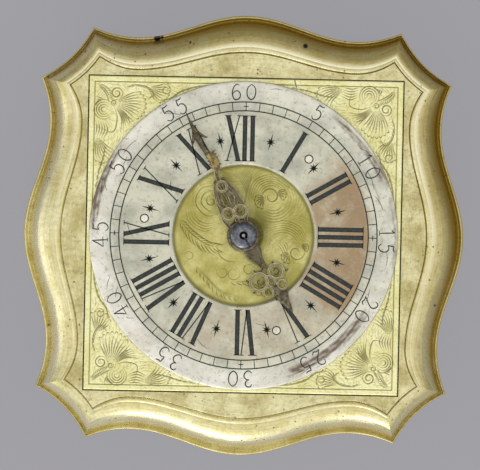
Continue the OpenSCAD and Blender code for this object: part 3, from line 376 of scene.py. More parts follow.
def silvered_brass():
    """Brass silvered by rubbing: matt grey white, copper where hands wore it, tarnished at the rim."""
    material, tree, place = blank("silvered_brass")
    worn, tarnish = marks_of(tree, "worn", "tarnish")
    cloud, cloudy = clouds(tree, place, 8, 5.0, 0.6, 0.4, 0.62)
    tone = laid(tree, "#dddbc5", cloudy, "#bcbcaa")
    # Lighter silvering at the outer margin, which the ring strengthens towards the lower left as painted light
    tone = laid(tree, tone, "margin", laid(tree, "#fbf7ea", cloudy, "#e6e2d4"))

    patchy = clouds(tree, place, 4.5, 7.0, 0.72, 0.36, 0.64)[1]
    worn_edge = add(tree, "ShaderNodeMath", {0: patchy, 1: 0.6, 2: worn}, operation="MULTIPLY_ADD")
    worn_here = add(tree, "ShaderNodeMapRange", {"Value": worn_edge, "From Min": 0.35, "From Max": 1.25,
                                                 "To Max": 0.95})
    tone = laid(tree, tone, worn_here, laid(tree, "#d0c1a4", worn, "#aa8f6c"))
    tarnish_edge = add(tree, "ShaderNodeMath", {0: patchy, 1: 0.5, 2: tarnish}, operation="MULTIPLY_ADD")
    tarnish_here = add(tree, "ShaderNodeMapRange", {"Value": tarnish_edge, "From Min": 0.85, "From Max": 1.75})
    tone = laid(tree, tone, tarnish_here, "#7d6f60")
    tone = laid(tree, tone, clouds(tree, place, 1.1, 4.0, 0.6, 0.55, 0.74, 0.6)[1], "#8a8271")

    drawn = add(tree, "ShaderNodeMapping", {"Vector": place, "Scale": (1.0, 0.08, 1.0),
                                            "Rotation": (0.0, 0.0, math.radians(35))})
    scratch = add(tree, "ShaderNodeTexNoise", {"Vector": drawn, "Scale": per_mm(0.5), "Detail": 2.0})
    shade(tree, tone, (scratch, 0.3, 0.08), (cloud, 0.3, 0.7, 0.38, 0.5), {"Metallic": 0.7})
    return material


def engravers_wax():
    """Black wax melted into the cuts: green black, worn greyer and given a painted sheen along the middle,
    crumbled in places.
    """
    material, tree, place = blank("engravers_wax")
    crumb, crumbly = clouds(tree, place, 0.9, 5.0, 0.65, 0.5, 0.72, 0.5)
    # Greyer along the middle of broad strokes: thin worn wax and a painted sheen
    thin = add(tree, "ShaderNodeMath", {0: marks_of(tree, "core")[0], 1: crumb}, operation="MULTIPLY")
    thinned = add(tree, "ShaderNodeMapRange", {"Value": thin, "From Min": 0.3, "From Max": 0.7, "To Max": 0.4})
    tone = laid(tree, laid(tree, "#1c211d", crumbly, "#54574c"), thinned, "#565a50")
    shade(tree, tone, (crumb, 0.5, 0.08), 0.5, {})
    return material


def carved_bronze():
    """Gilt bronze hands, chased: taupe and olive tarnish on the faces, worn gilding and a painted highlight
    along the rims.
    """
    material, tree, place = blank("carved_bronze")
    cloud, cloudy = clouds(tree, place, 1.6, 6.0, 0.7, 0.42, 0.6)
    tone = laid(tree, "#80765f", cloudy, "#4b432f")
    rim, = marks_of(tree, "rim")
    # Rims: worn gilding and a painted highlight in pale cream
    rubbed = add(tree, "ShaderNodeMath", {0: rim, 1: cloud, 2: 0.25}, operation="MULTIPLY_ADD")
    rim_here = add(tree, "ShaderNodeMapRange", {"Value": rubbed, "From Min": 0.48, "From Max": 0.8})
    tone = laid(tree, tone, rim_here, "#cfc497")
    tone = laid(tree, tone, "glow", laid(tree, "#b8a062", cloudy, "#6e5e36"))
    shade(tree, tone, (cloud, 0.8, 0.2), (cloud, 0.3, 0.7, 0.36, 0.55), {"Metallic": 0.55})
    return material


def blued_steel():
    """Steel blued by heat and long worn: blue grey with a silky polish, small dents and painted shade in its
    hollows.
    """
    material, tree, place = blank("blued_steel")
    cloud, cloudy = clouds(tree, place, 1.2, 5.0, 0.6, 0.42, 0.62)
    tone = laid(tree, laid(tree, "#5d5e67", cloudy, "#84878c"), "oiled", "#17120f")
    shade(tree, tone, (cloud, 0.5, 0.1), (cloud, 0, 1, 0.2, 0.36), {"Metallic": 1.0})
    return material


def polished_steel():
    """Steel filed and polished: cool grey, bright, with straight file marks and light rust bloom."""
    material, tree, place = blank("polished_steel")
    drawn = add(tree, "ShaderNodeMapping", {"Vector": place, "Scale": (1.0, 1.0, 0.1)})
    filed = add(tree, "ShaderNodeTexNoise", {"Vector": drawn, "Scale": per_mm(0.5), "Detail": 3.0})
    bloomed = clouds(tree, place, 3, 4.0, 0.5, 0.55, 0.75, 0.6)[1]
    tone = laid(tree, "#9da0a3", bloomed, "#7b7468")
    shade(tree, tone, (filed, 0.3, 0.05), (filed, 0, 1, 0.2, 0.4), {"Metallic": 1.0})
    return material


def movement_brass():
    """Brass of the movement, stoned and once gilt: even yellow, fine straight grain, spots of age."""
    material, tree, place = blank("movement_brass")
    drawn = add(tree, "ShaderNodeMapping", {"Vector": place, "Scale": (0.1, 1.0, 1.0),
                                            "Rotation": (0.0, 0.0, math.radians(40))})
    grain = add(tree, "ShaderNodeTexNoise", {"Vector": drawn, "Scale": per_mm(0.45), "Detail": 3.0})
    aged = clouds(tree, place, 5, 5.0, 0.6, 0.45, 0.7, 0.8)[1]
    tone = laid(tree, "#d6c06e", aged, "#a88f4a")
    shade(tree, tone, (grain, 0.35, 0.06), (grain, 0, 1, 0.26, 0.42), {"Metallic": 0.9})
    return material


def crown_glass():
    """Thin crown glass, ground flat by hand: clear with a faint green body and slow waves in its face."""
    material, tree, place = blank("crown_glass")
    wave = add(tree, "ShaderNodeTexNoise", {"Vector": place, "Scale": per_mm(14), "Detail": 1.0})
    shade(tree, "#f2faf5", (wave, 0.15, 0.2), (wave, 0, 1, 0.0, 0.05),
          {"Transmission Weight": 1.0, "IOR": 1.52})
    return material


# The two wavy frames

def side_height(x, edge):
    """Half width of a wavy side at a distance from its middle."""
    near = edge["dip"] + (edge["mid"] - edge["dip"]) * (1 + np.cos(np.pi * x / DIP_AT)) / 2
    far = edge["dip"] + (edge["horn"] - edge["dip"]) * ((x - DIP_AT) / (edge["horn_at"] - DIP_AT)) ** 2
    return np.where(x <= DIP_AT, near, far)


# Steps along half a side and along half a corner
SIDE_STEPS, CORNER_STEPS = 90, 9


def side_shares():
    """Shares from one corner's middle, at -2, to the next one's; from -1 to 1 they are on the side."""
    half = np.concatenate([np.linspace(0, 1, SIDE_STEPS + 1), 1 + np.linspace(0, 1, CORNER_STEPS + 1)[1:]])
    return np.concatenate([-half[::-1], half[1:]])[:-1]


def wavy(edge, shares):
    """Points of a wavy outline on the +Y side: shares to 1 run to the horn, to 2 to the corner's middle."""
    a, g = np.abs(shares), np.sign(shares)
    x = edge["horn_at"] * np.minimum(a, 1)
    on_side = np.stack([g * x, side_height(x, edge)], axis=1)
    v = np.clip(a - 1, 0, 1) / 2
    span = edge["horn"] - edge["horn_at"]
    q = edge["hollow"] * 4 * v * (1 - v) / math.sqrt(2)
    on_corner = np.stack([g * (edge["horn_at"] + v * span - q), edge["horn"] - v * span - q], axis=1)
    return np.where((a <= 1)[:, None], on_side, on_corner)


def cut_square(half, cut, shares):
    """Points of a square with cut corners on the +Y side."""
    a, g = np.abs(shares), np.sign(shares)
    x = (half - cut) * np.minimum(a, 1)
    v = np.clip(a - 1, 0, 1) / 2
    return np.stack([g * (x + v * cut), half - v * cut], axis=1)


# Part of a plain square's half side that the steps up to the horn take
HORN_SHARE = 1 - 2 / 24


def plain_square(half, shares):
    """Points of a plain square on the +Y side, spread as the wavy outline's are."""
    a = np.abs(shares)
    along = np.where(a <= 1, a * HORN_SHARE, HORN_SHARE + (a - 1) * (1 - HORN_SHARE))
    return np.stack([half * np.sign(shares) * along, np.full(len(shares), half)], axis=1)


def moulding_line():
    """The moulding's section as rows of share outwards and share of the drop."""
    keys = [
        (0, 0), (0.006, 0.01), (0.012, 0.05), (0.02, 0.075), (0.032, 0.062), (0.05, 0.03), (0.075, 0.012),
        (0.105, 0.008), (0.135, 0.016), (0.155, 0.03), (0.168, 0.037), (0.185, 0.035), (0.22, 0.03),
        (0.28, 0.04), (0.36, 0.07), (0.44, 0.118), (0.52, 0.19), (0.6, 0.3), (0.67, 0.43), (0.73, 0.575),
        (0.78, 0.72), (0.82, 0.84), (0.85, 0.925), (0.872, 0.975), (0.888, 0.985), (0.905, 0.95),
        (0.93, 0.905), (0.96, 0.885), (0.985, 0.905), (0.998, 0.95), (1.0, 1.02), (0.998, 1.12),
        (0.985, 1.18), (0.95, 1.24), (0.88, 1.275), (0.78, 1.3), (0.64, 1.34), (0.5, 1.44)
    ]
    line = smooth_through(keys, 3)
    line[:, 0] = np.minimum(line[:, 0], 1)
    return line


def row_marks(share, drop):
    """Marks of one row of the moulding: its dirt, the band of painted shade, wear, open joint and the bands of
    painted highlight.
    """
    return {"hollow": float(hollow_dirt(share, drop)) * (share > 0), "toned": 0.46 * (0.2 < share < 0.95),
            "land": float(share <= 0), "fresh": float(share > 0.97 and drop < 1.2),
            "joint": 0.33 * (0.012 < share < 0.03 and drop < 1),
            "roll": math.exp(-((share - 0.2) / 0.09) ** 2),
            "slope": 0.85 * math.exp(-((share - 0.62) / 0.15) ** 2) * (drop < 1)}


def hollow_dirt(share, drop):
    """Dirt and painted shade across the moulding: in the quirk, beside the roll, in the hollow, behind the lip
    and below it.
    """
    quirk = np.exp(-((share - 0.03) / 0.02) ** 2) * (drop < 0.5)
    flare = 0.9 * np.exp(-((share - 0.77) / 0.13) ** 2) * (drop < 1)
    line = 0.12 * np.exp(-((share - 0.168) / 0.014) ** 2) * (drop < 0.5)
    lip = 0.45 * (share > 0.9) * (drop < 1.05)
    below = 0.25 * (drop > 1.05)
    return np.clip(quirk + flare + line + lip + below, 0, 1)


# Damage seen on the top frame: x, y, radius, depth and darkness
NICKS = [
    (-28.9, 62.6, 1.1, 0.25, 0.9), (-27.4, 62.9, 0.7, 0.2, 0.7), (18.5, 60.8, 0.75, 0.6, 1.0),
    (-1.2, 51.0, 0.5, 0.2, 1.0), (-18.3, 61.2, 0.5, 0.1, 0.7), (-17.0, 60.7, 0.4, 0.1, 0.6),
    (-19.6, 61.7, 0.4, 0.1, 0.6), (-15.9, 61.9, 0.35, 0.1, 0.5), (-51.9, 57.6, 0.6, 0.1, 0.7),
    (61.5, -21.0, 0.7, 0.2, 0.5), (-62.4, 17.0, 0.5, 0.1, 0.5), (33.0, -57.0, 0.5, 0.1, 0.5)
]


def sink_nicks(points, nicks, dark, lowest):
    """Sinks nicks into the points above a height; gives how dark each point is."""
    for x, y, radius, depth, darkness in nicks:
        near = np.exp(-((points[:, 0] - x) ** 2 + (points[:, 1] - y) ** 2) / radius ** 2)
        near = near * (points[:, 2] > lowest)
        points[:, 2] -= depth * near * (near > 0.05)
        dark = np.maximum(dark, darkness * near)
    return dark


def wavy_frame(name, land_z, drop, stack, up, nicks, replaces):
    """Sweeps the moulding round the case, and inside it the stack: kind, half width, corner cut and height."""
    shares = side_shares()
    inner, outer = wavy(LAND_EDGE, shares), wavy(OUTER_EDGE, shares)
    wide = np.linalg.norm(outer - inner, axis=1)
    rows = []
    for share, fall in np.vstack([[-0.03, 0], moulding_line()]):
        z = land_z - fall * drop if up else land_z + fall * drop
        rows.append((inner * (1 - share) + outer * share, z, share * wide, row_marks(share, fall)))
    for kind, half, cut, z in stack:
        flat = cut_square(half, cut, shares) if kind == "cut" else plain_square(half, shares)
        marks = dict.fromkeys(rows[0][3], 0.0)
        # Painted shade: the walls of the square opening are marked near black, so the gap round the dial reads
        # dark
        marks.update(hollow=0.1, land=0.6 if z != land_z else 1.0,
                     joint=0.6 * (up and kind == "square" and z < land_z))
        rows.append((flat, z, -np.linalg.norm(flat - inner, axis=1), marks))
    quarter = np.stack([np.c_[row[0], np.full(len(shares), row[1])] for row in rows], axis=1)
    points = np.concatenate([turn(quarter, -90 * k) for k in range(4)])
    n, m = points.shape[:2]
    points = points.reshape(-1, 3)
    mark = {key: np.tile([row[3][key] for row in rows], n) for key in rows[0][3]}

    # Painted shade: the dirt in the hollow is deepened, and a band is darkened, towards the upper right, away
    # from the light. Painted highlight: the roll is lightened near the top and the slope at the lower left.
    shaded = np.clip((0.6 * points[:, 0] + 0.8 * points[:, 1]) / 90 + 0.5, 0, 1)
    lit = np.clip(0.55 + points[:, 1] / 120 + points[:, 0] / 300, 0, 1)
    dirt = mark["hollow"] * (0.2 + 0.5 * shaded) + mark["toned"] * shaded
    # The dark mark holds the nicks, the dark quirk line and the painted shade on the opening's walls
    nick = sink_nicks(points, nicks, mark["joint"], land_z - drop)
    faces = grid_faces(n, m, True, True)
    made = Shape().add(points, faces if up else faces[:, ::-1], hollow=dirt, nick=nick, land=mark["land"],
                       fresh=mark["fresh"], burnished=mark["roll"] * lit + mark["slope"] * (1 - shaded),
                       across=np.tile(np.stack([row[2] for row in rows], axis=1), (4, 1)).ravel(),
                       along=np.tile(np.repeat(np.abs(shares) * OUTER_EDGE["horn_at"], m), 4))
    make_piece(name, made, GILT, "case", replaces, sharp=22)


def top_moulding():
    """Wavy top frame with the flat land round the dial."""
    opening, ledge = DIAL_HALF + DIAL_GAP, CASE_TOP - DIAL_T
    seat, bottom, break_edge = ledge - LEDGE_T, CASE_TOP - TOP_FRAME_H, 0.12
    stack = [
        ("cut", BAND_HALF + 1, 10, bottom), ("cut", BAND_HALF - 3, 14, bottom),
        ("cut", BAND_HALF - 3, 14, seat), ("cut", opening - 1.8, 12, seat),
        ("cut", opening - 1.8, 12, ledge), ("square", opening, 0, ledge),
        ("square", opening, 0, CASE_TOP - break_edge), ("square", opening + break_edge, 0, CASE_TOP)
    ]
    wavy_frame("top_frame_moulding", CASE_TOP, OGEE_DROP, stack, True, NICKS, ["top_frame"])


def base_moulding():
    """Wavy base frame round the bottom door."""
    z = FOOT_H + BASE_FRAME_H
    rebate, step = FOOT_H + DOOR_ROOM, FOOT_H + DOOR_ROOM + 2.1
    stack = [
        ("cut", BAND_HALF + 1, 10, z), ("cut", BAND_HALF - 4, 14, z), ("cut", BAND_HALF - 4, 14, step),
        ("square", DOOR_HOLE_HALF, 0, step), ("square", DOOR_HOLE_HALF, 0, rebate),
        ("square", DOOR_HALF, 0, rebate), ("square", DOOR_HALF, 0, FOOT_H)
    ]
    wavy_frame("base_frame_moulding", FOOT_H, OGEE_DROP * 0.92, stack, False, [], ["base_frame"])


# Engraving

# Step of the relief field in millimetres
RELIEF_STEP = 0.1


class Relief:
    """A square field of engraved cuts over the dial plate, in millimetres."""

    def __init__(self):
        self.size = int(2 * DIAL_HALF / RELIEF_STEP) + 1
        self.depth = np.zeros((self.size, self.size))

    def cut(self, line, width, depth, taper=True):
        """Cuts a V along a line, thin at both ends."""
        line = np.asarray(line, float)
        n = len(line) - 1
        for i in range(n):
            a, b = line[i], line[i + 1]
            t = (i + 0.5) / n
            swell = (0.35 + 0.65 * math.sin(math.pi * min(max(t, 0.04), 0.96))) if taper else 1.0
            half = width / 2 * swell
            lo = np.minimum(a, b) - half
            hi = np.maximum(a, b) + half
            i0, j0 = np.clip(((lo + DIAL_HALF) / RELIEF_STEP).astype(int), 0, self.size - 1)
            i1, j1 = np.clip(((hi + DIAL_HALF) / RELIEF_STEP).astype(int) + 2, 0, self.size)
            if i1 <= i0 or j1 <= j0:
                continue
            x = np.arange(i0, i1)[:, None] * RELIEF_STEP - DIAL_HALF
            y = np.arange(j0, j1)[None, :] * RELIEF_STEP - DIAL_HALF
            d = b - a
            long = max(float(d @ d), 1e-9)
            u = np.clip(((x - a[0]) * d[0] + (y - a[1]) * d[1]) / long, 0, 1)
            away = np.hypot(x - a[0] - u * d[0], y - a[1] - u * d[1])
            value = depth * swell * np.clip(1 - away / half, 0, 1)
            window = self.depth[i0:i1, j0:j1]
            np.maximum(window, value, out=window)

    def at(self, x, y):
        """Depth of the cuts at points, blended between the field's steps."""
        fx = np.clip((x + DIAL_HALF) / RELIEF_STEP, 0, self.size - 1.001)
        fy = np.clip((y + DIAL_HALF) / RELIEF_STEP, 0, self.size - 1.001)
        i, j = fx.astype(int), fy.astype(int)
        u, v = fx - i, fy - j
        d = self.depth
        return (d[i, j] * (1 - u) * (1 - v) + d[i + 1, j] * u * (1 - v) + d[i, j + 1] * (1 - u) * v
                + d[i + 1, j + 1] * u * v)


def shell(strokes, centre, a0, a1, r0, r1, ribs, bend=0.0):
    """A fan-shaped shell: ribs spread from a centre and a scalloped edge joins them."""
    tips = []
    centre = np.array(centre)
    for k in range(ribs):
        t = k / (ribs - 1)
        a = a0 + (a1 - a0) * t
        reach = r1 * (0.86 + 0.14 * math.sin(math.pi * t))
        line = [centre + on_circle(r0 + (reach - r0) * s, a + bend * s * s) for s in np.linspace(0, 1, 9)]
        strokes.append((line, 0.5, 0.2))
        tips.append((reach, a + bend))
    for (ra, aa), (rb, ab) in zip(tips, tips[1:]):
        scallop = centre + on_circle((ra + rb) / 2 * 1.09, (aa + ab) / 2)
        stroke(strokes, [centre + on_circle(ra, aa), scallop, centre + on_circle(rb, ab)], 4, 0.46, 0.2)


def feathers(strokes, line, side, count, length, lean=35):
    """Short curved cuts that spring from a line like barbs from a quill."""
    line = np.asarray(line, float)
    for k in range(1, count):
        i = int(k / count * (len(line) - 1))
        d = line[min(i + 1, len(line) - 1)] - line[max(i - 1, 0)]
        a = math.degrees(math.atan2(d[1], d[0])) + side * lean
        reach = length * (0.55 + 0.45 * math.sin(math.pi * k / count))
        barb = [line[i] + on_circle(reach * s, a - side * 26 * s) for s in np.linspace(0.06, 1, 6)]
        strokes.append((barb, 0.4, 0.19))


def stroke(strokes, keys, steps, width, depth):
    """One curved cut through key points; gives its line back for what springs from it."""
    line = smooth_through(keys, steps)
    strokes.append((line, width, depth))
    return line


def sweep(strokes, first, last, count, width=0.46, depth=0.22):
    """A family of curved cuts that change evenly from a first line to a last."""
    first, last = np.array(first, float), np.array(last, float)
    for t in np.linspace(0, 1, count):
        stroke(strokes, first * (1 - t) + last * t, 6, width, depth)


def rings_about(strokes, centre, radii, a0, a1, narrow=0.0):
    """Nested arcs about a centre, each a little shorter than the one inside it."""
    for k, radius in enumerate(radii):
        arc = spiral(centre, radius, radius * 1.05, a0 + narrow * k, a1 - narrow * k, 24)
        strokes.append((arc, 0.46, 0.22))


def corner_strokes(seed):
    """Shells, scrolls and leaves of one spandrel, in millimetres from the plate's corner."""
    j = np.random.default_rng(seed).uniform(-0.4, 0.4, 16)
    strokes = []
    shell(strokes, (8.0, 8.6 + j[0]), -34, 30, 1.6, 9.6 + j[1], 9, 6)
    strokes.append((spiral((8.8 + j[2], 5.4), 2.3, 0.3, 150, 150 - 760, 44), 0.5, 0.24))
    strokes.append((spiral((7.9, 8.5), 1.1, 0.2, 0, 640, 26), 0.46, 0.22))
    rings_about(strokes, (4.7, 10.8 + j[3]), np.arange(0.8, 3.8, 0.75), 40, 330, -4)
    stroke(strokes, [(8.0, 9.6), (9.0, 13.4), (7.7, 17.4 + j[4]), (2.9, 16.2)], 7, 0.48, 0.22)
    stroke(strokes, [(9.4, 9.6), (12.4, 12.8), (13.1, 16.0)], 7, 0.44, 0.2)
    sweep(strokes, [(8.6, 10.2), (10.4, 13.6), (10.2, 17.8)], [(9.6, 10.0), (12.0, 12.4), (14.6, 14.6)], 6)
    sweep(strokes, [(5.2, 14.6), (6.0, 17.2), (4.6, 20.2)], [(2.2, 14.2), (2.6, 16.6), (2.2, 19.0)], 5)
    shell(strokes, (3.0, 19.0 + j[5]), 52, 112, 0.8, 8.4, 8, -14)
    tail = stroke(strokes, [(5.4, 21.4), (5.0, 25.4), (3.6, 30.4), (2.7, 36.0 + j[6])], 7, 0.44, 0.2)
    feathers(strokes, tail, 1, 14, 2.0, 26)
    feathers(strokes, tail, -1, 10, 1.1, 30)
    top = [(11.2, 3.6), (14.4, 2.6), (18.2, 3.2), (20.6, 5.4 + j[7]), (19.0, 7.4)]
    feathers(strokes, stroke(strokes, top, 7, 0.48, 0.22), 1, 12, 2.2, 40)
    shell(strokes, (18.4 + j[8], 3.2), -6, 64, 1.2, 6.8, 8, -8)
    strokes.append((spiral((24.4, 4.4 + j[9]), 1.9, 0.3, 200, 200 + 640, 30), 0.46, 0.2))
    branch = stroke(strokes, [(22.0, 7.6), (25.6, 7.0), (29.2, 4.6), (33.4, 3.2), (37.2, 2.7)], 7, 0.44, 0.2)
    feathers(strokes, branch, -1, 15, 2.2, 26)
    feathers(strokes, branch, 1, 8, 1.0, 34)
    corner = stroke(strokes, [(2.6, 2.6), (4.2, 3.6), (5.6, 5.4 + j[10]), (6.6, 7.4)], 6, 0.46, 0.22)
    feathers(strokes, corner, -1, 9, 2.6, 50)
    feathers(strokes, corner, 1, 9, 2.3, 50)
    sweep(strokes, [(2.2, 6.6), (3.4, 7.0), (4.8, 7.6)], [(2.3, 9.6), (2.5, 8.6), (3.6, 8.0)], 4)
    first, last = [(12.0, 6.0), (14.2, 5.0), (17.0, 5.6)], [(13.0, 10.8), (15.0, 10.6), (17.6, 9.0)]
    sweep(strokes, first, last, 4, 0.3, 0.12)
    return strokes


# Families of long fine sweeps in the dial's middle: the first line, the last and how many
CENTRE_SWEEPS = [
    ([(2.4, 7.2), (1.4, 12.4), (3.2, 17.6), (8.4, 19.6), (13.8, 17.4), (16.6, 12.6), (15.6, 7.4)],
     [(5.4, 10.2), (5.2, 13.0), (6.2, 15.2), (8.6, 16.2), (11.0, 15.2), (12.2, 12.8), (11.8, 10.6)], 6),
    ([(3.6, 6.8), (8.4, 4.6), (12.8, 5.4), (16.4, 8.6)],
     [(6.4, 9.0), (8.8, 8.2), (11.0, 8.6), (12.4, 10.2)], 5),
    ([(8.6, 4.2), (13.6, 5.0), (18.2, 2.8), (20.8, -2.0)],
     [(8.4, 0.4), (12.6, 1.4), (15.8, 0.2), (17.8, -2.4)], 6),
    ([(9.4, -1.4), (11.8, -3.6), (13.0, -6.6), (12.6, -9.8)],
     [(12.4, -1.2), (13.8, -2.4), (14.2, -4.0), (13.8, -5.6)], 4),
    ([(-6.6, 20.2), (-2.4, 18.6), (0.2, 14.6), (0.2, 9.6)],
     [(0.4, 21.2), (1.8, 19.8), (2.2, 18.2), (1.6, 16.6)], 8),
    ([(-18.8, 9.4), (-17.4, 4.0), (-12.6, 1.2), (-7.2, 3.0)],
     [(-16.4, 8.6), (-14.8, 5.0), (-11.4, 3.6), (-7.2, 4.8)], 4)
]


def centre_strokes():
    """Scrolls, leaves, loops and long sweeps of the middle of the dial; generic scrollwork only."""
    strokes = []
    for first, last, count in CENTRE_SWEEPS:
        sweep(strokes, first, last, count, 0.34, 0.13)
    for centre, r0, r1, a0, a1, count, width, depth in (
            ((8.5, 12.6), 3.3, 0.7, 250, 250 - 500, 40, 0.5, 0.22),
            ((16.9, -5.0), 3.0, 0.6, 70, 70 - 480, 36, 0.46, 0.2),
            ((-10.4, 10.8), 2.0, 0.5, 60, 60 + 420, 24, 0.42, 0.18)):
        strokes.append((spiral(centre, r0, r1, a0, a1, count), width, depth))
    for centre, a0, a1, reach, ribs, bend in (((6.6, 11.6), 130, 240, 3.2, 6, 22),
                                              ((10.4, 13.4), -30, 60, 2.8, 5, -20),
                                              ((15.0, -5.8), 150, 250, 2.9, 5, 22),
                                              ((18.4, -3.4), -20, 60, 2.3, 5, -20)):
        shell(strokes, centre, a0, a1, 0.3, reach, ribs, bend)
    inner, outer = [stroke(strokes, keys, 8, 0.42, 0.18) for keys in (
        [(-8.4, 14.6), (-12.6, 13.2), (-13.6, 10.2), (-11.2, 7.8), (-8.8, 8.6)],
        [(-8.2, 16.2), (-13.8, 14.6), (-15.4, 10.0), (-12.0, 6.2), (-8.0, 6.8)])]
    strokes += [([inner[i], outer[i]], 0.3, 0.12) for i in range(3, len(inner) - 3, 2)]

    quill = stroke(strokes, [(-20.6, 5.0), (-17.0, 0.8), (-12.4, -2.6), (-7.6, -3.8)], 8, 0.42, 0.18)
    feathers(strokes, quill, -1, 13, 5.0, 52)
    feathers(strokes, quill, 1, 13, 4.2, 48)
    stroke(strokes, [(-8.3, -3.2), (-7.4, -6.4), (-4.8, -8.2), (-1.8, -8.2)], 6, 0.4, 0.16)
    for centre, size, start, hand in (((-6.4, -11.8), 2.0, 120, 1), ((-3.0, -12.2), 2.3, 60, -1),
                                      ((1.9, -10.8), 1.9, 20, 1), ((-17.2, -6.8), 1.6, 200, -1),
                                      ((5.6, -17.6), 1.7, 100, 1)):
        strokes.append((spiral(centre, size, size * 0.55, start, start + hand * 380, 26), 0.36, 0.14))
    for y in (0, -0.6):
        diagonal = [(-15.2, -9.4 + y), (-11.2, -13.4 + y), (-6.8, -17.6 + y), (-1.0, -19.6 + y)]
        diagonal = stroke(strokes, diagonal, 7, 0.36, 0.14)
    feathers(strokes, diagonal, -1, 12, 2.6, 62)
    frond = stroke(strokes, [(-4.4, -15.0), (1.4, -14.6), (6.6, -16.6), (11.0, -17.4)], 7, 0.4, 0.16)
    feathers(strokes, frond, -1, 12, 3.0, 60)
    return strokes


def spot(x, y, centre, size):
    """A soft spot, 1 in its middle."""
    return np.exp(-((x - centre[0]) / size[0]) ** 2 - ((y - centre[1]) / size[1]) ** 2)


def oil_shade(x, y):
    """Painted shadow round and under the hands, and painted shade in thin lines at the boss and inside the
    ring.
    """
    away = np.hypot(x, y)
    near = 0.82 * spot(x, y, (4.8, 3.2), (3.8, 6.0)) + 0.28 * spot(x, y, (0.8, 14.0), (2.6, 6.0))
    under = 0.45 * spot(x, y, (9.0, -14.0), (4.4, 4.0)) + 0.4 * spot(x, y, (-5.0, 10.8), (2.6, 6.0))
    boss_line = np.exp(-((away - 5.8) / 0.45) ** 2) * np.clip(0.3 + x / away, 0, 1)
    ring_line = 0.7 * np.exp(-((away - RING_IN + 0.25) / 0.6) ** 2)
    return np.clip(near + under + boss_line + ring_line, 0, 0.95)


# Distance between the short cuts that fill the plain ground
FLOW_STEP = 0.95


def fill_gaps(relief, centres, inside, seed, width, depth):
    """Short fine cuts, each curved about the nearest scroll, wherever the ground is still plain."""
    rng = np.random.default_rng(seed)
    centres = np.array(centres, float)
    side = np.arange(-DIAL_HALF + 2.4, DIAL_HALF - 2.4, FLOW_STEP)
    x, y = np.meshgrid(side, side)
    places = np.stack([x.ravel(), y.ravel()], axis=1) + rng.uniform(-0.25, 0.25, (x.size, 2))
    places = rng.permutation(places[inside(places)])
    for place in places:
        around = place + 0.5 * np.array([(0, 0), (1, 0), (0, 1), (-1, 0), (0, -1)])
        if relief.at(around[:, 0], around[:, 1]).max() > 0.02:
            continue
        away = place - centres
        near = centres[np.argmin(np.linalg.norm(away, axis=1))]
        radius = max(np.linalg.norm(place - near), 0.8)
        angle = math.degrees(math.atan2(*(place - near)[::-1]))
        half = math.degrees(rng.uniform(0.7, 1.4) / radius)
        relief.cut(spiral(near, radius * 0.98, radius * 1.03, angle - half, angle + half, 7), width, depth)


def cut_inside(relief, line, width, depth, inside):
    """Cuts the part of a line whose distances from the dial's middle pass a test."""
    keep = inside(np.hypot(line[:, 0], line[:, 1]))
    if keep.sum() > 2:
        relief.cut(line[keep], width, depth)


def engrave(relief):
    """Cuts the four spandrels, the line inside the plate's border and the middle."""
    flow = []
    for seed, (sx, sy) in enumerate(((1, 1), (1, -1), (-1, -1), (-1, 1)), 3):
        swap = -1 if sx * sy > 0 else 1
        for line, width, depth in corner_strokes(seed):
            placed = (DIAL_HALF - np.asarray(line, float)[:, ::swap]) * (sx, sy)
            cut_inside(relief, placed, width, depth, lambda away: away > RING_OUT - 1.2)
        flow += [(DIAL_HALF - np.array(place, float)[::swap]) * (sx, sy)
                 for place in ((8, 8.6), (19, 3), (3, 20), (28, 1), (1, 30))]
    border = np.array([(-1, -1), (1, -1), (1, 1), (-1, 1), (-1, -1)]) * (DIAL_HALF - 1.75)
    for first, last in zip(border, border[1:]):
        relief.cut(np.linspace(first, last, 12), 0.5, 0.2, taper=False)
    crack = [(15.3, 49.9), (15.5, 48.8), (15.9, 47.6)]
    relief.cut(crack, 0.4, 0.3, taper=False)
    fill_gaps(relief, flow, lambda p: np.hypot(p[:, 0], p[:, 1]) > RING_OUT, 5, 0.32, 0.1)
    for line, width, depth in centre_strokes():
        cut_inside(relief, np.asarray(line, float), width, depth, lambda away: away < RING_IN - 0.8)
    fill_gaps(relief, [(8.5, 12.6), (-11.0, 10.8), (16.9, -5.0), (-4, 24)], lambda p: (
        np.hypot(p[:, 0], p[:, 1]) < RING_IN - 1.2) & (p[:, 1] + 0.6 * p[:, 0] > 1), 8, 0.28, 0.07)


def outline_of(mask, index):
    """Border of a masked block of grid cells as one loop of point numbers, anticlockwise."""
    follows = {}
    cells = np.argwhere(mask)
    inside = set(map(tuple, cells))
    for i, j in inside:
        if (i, j - 1) not in inside:
            follows[index[i, j]] = index[i + 1, j]
        if (i + 1, j) not in inside:
            follows[index[i + 1, j]] = index[i + 1, j + 1]
        if (i, j + 1) not in inside:
            follows[index[i + 1, j + 1]] = index[i, j + 1]
        if (i - 1, j) not in inside:
            follows[index[i, j + 1]] = index[i, j]
    start = next(iter(follows))
    loop = [start]
    while follows[loop[-1]] != start:
        loop.append(follows[loop[-1]])
    return loop


# Step of the spandrels' mesh, thickness of the engraved slabs and radius of the plate's hole
SPANDREL_STEP, SLAB_T, PLATE_HOLE = 0.15, 0.5, 4.1
# Cuts this deep are as dark as they get, on the spandrels and in the middle
SPANDREL_DARK, MIDDLE_DARK = 0.18, 0.12


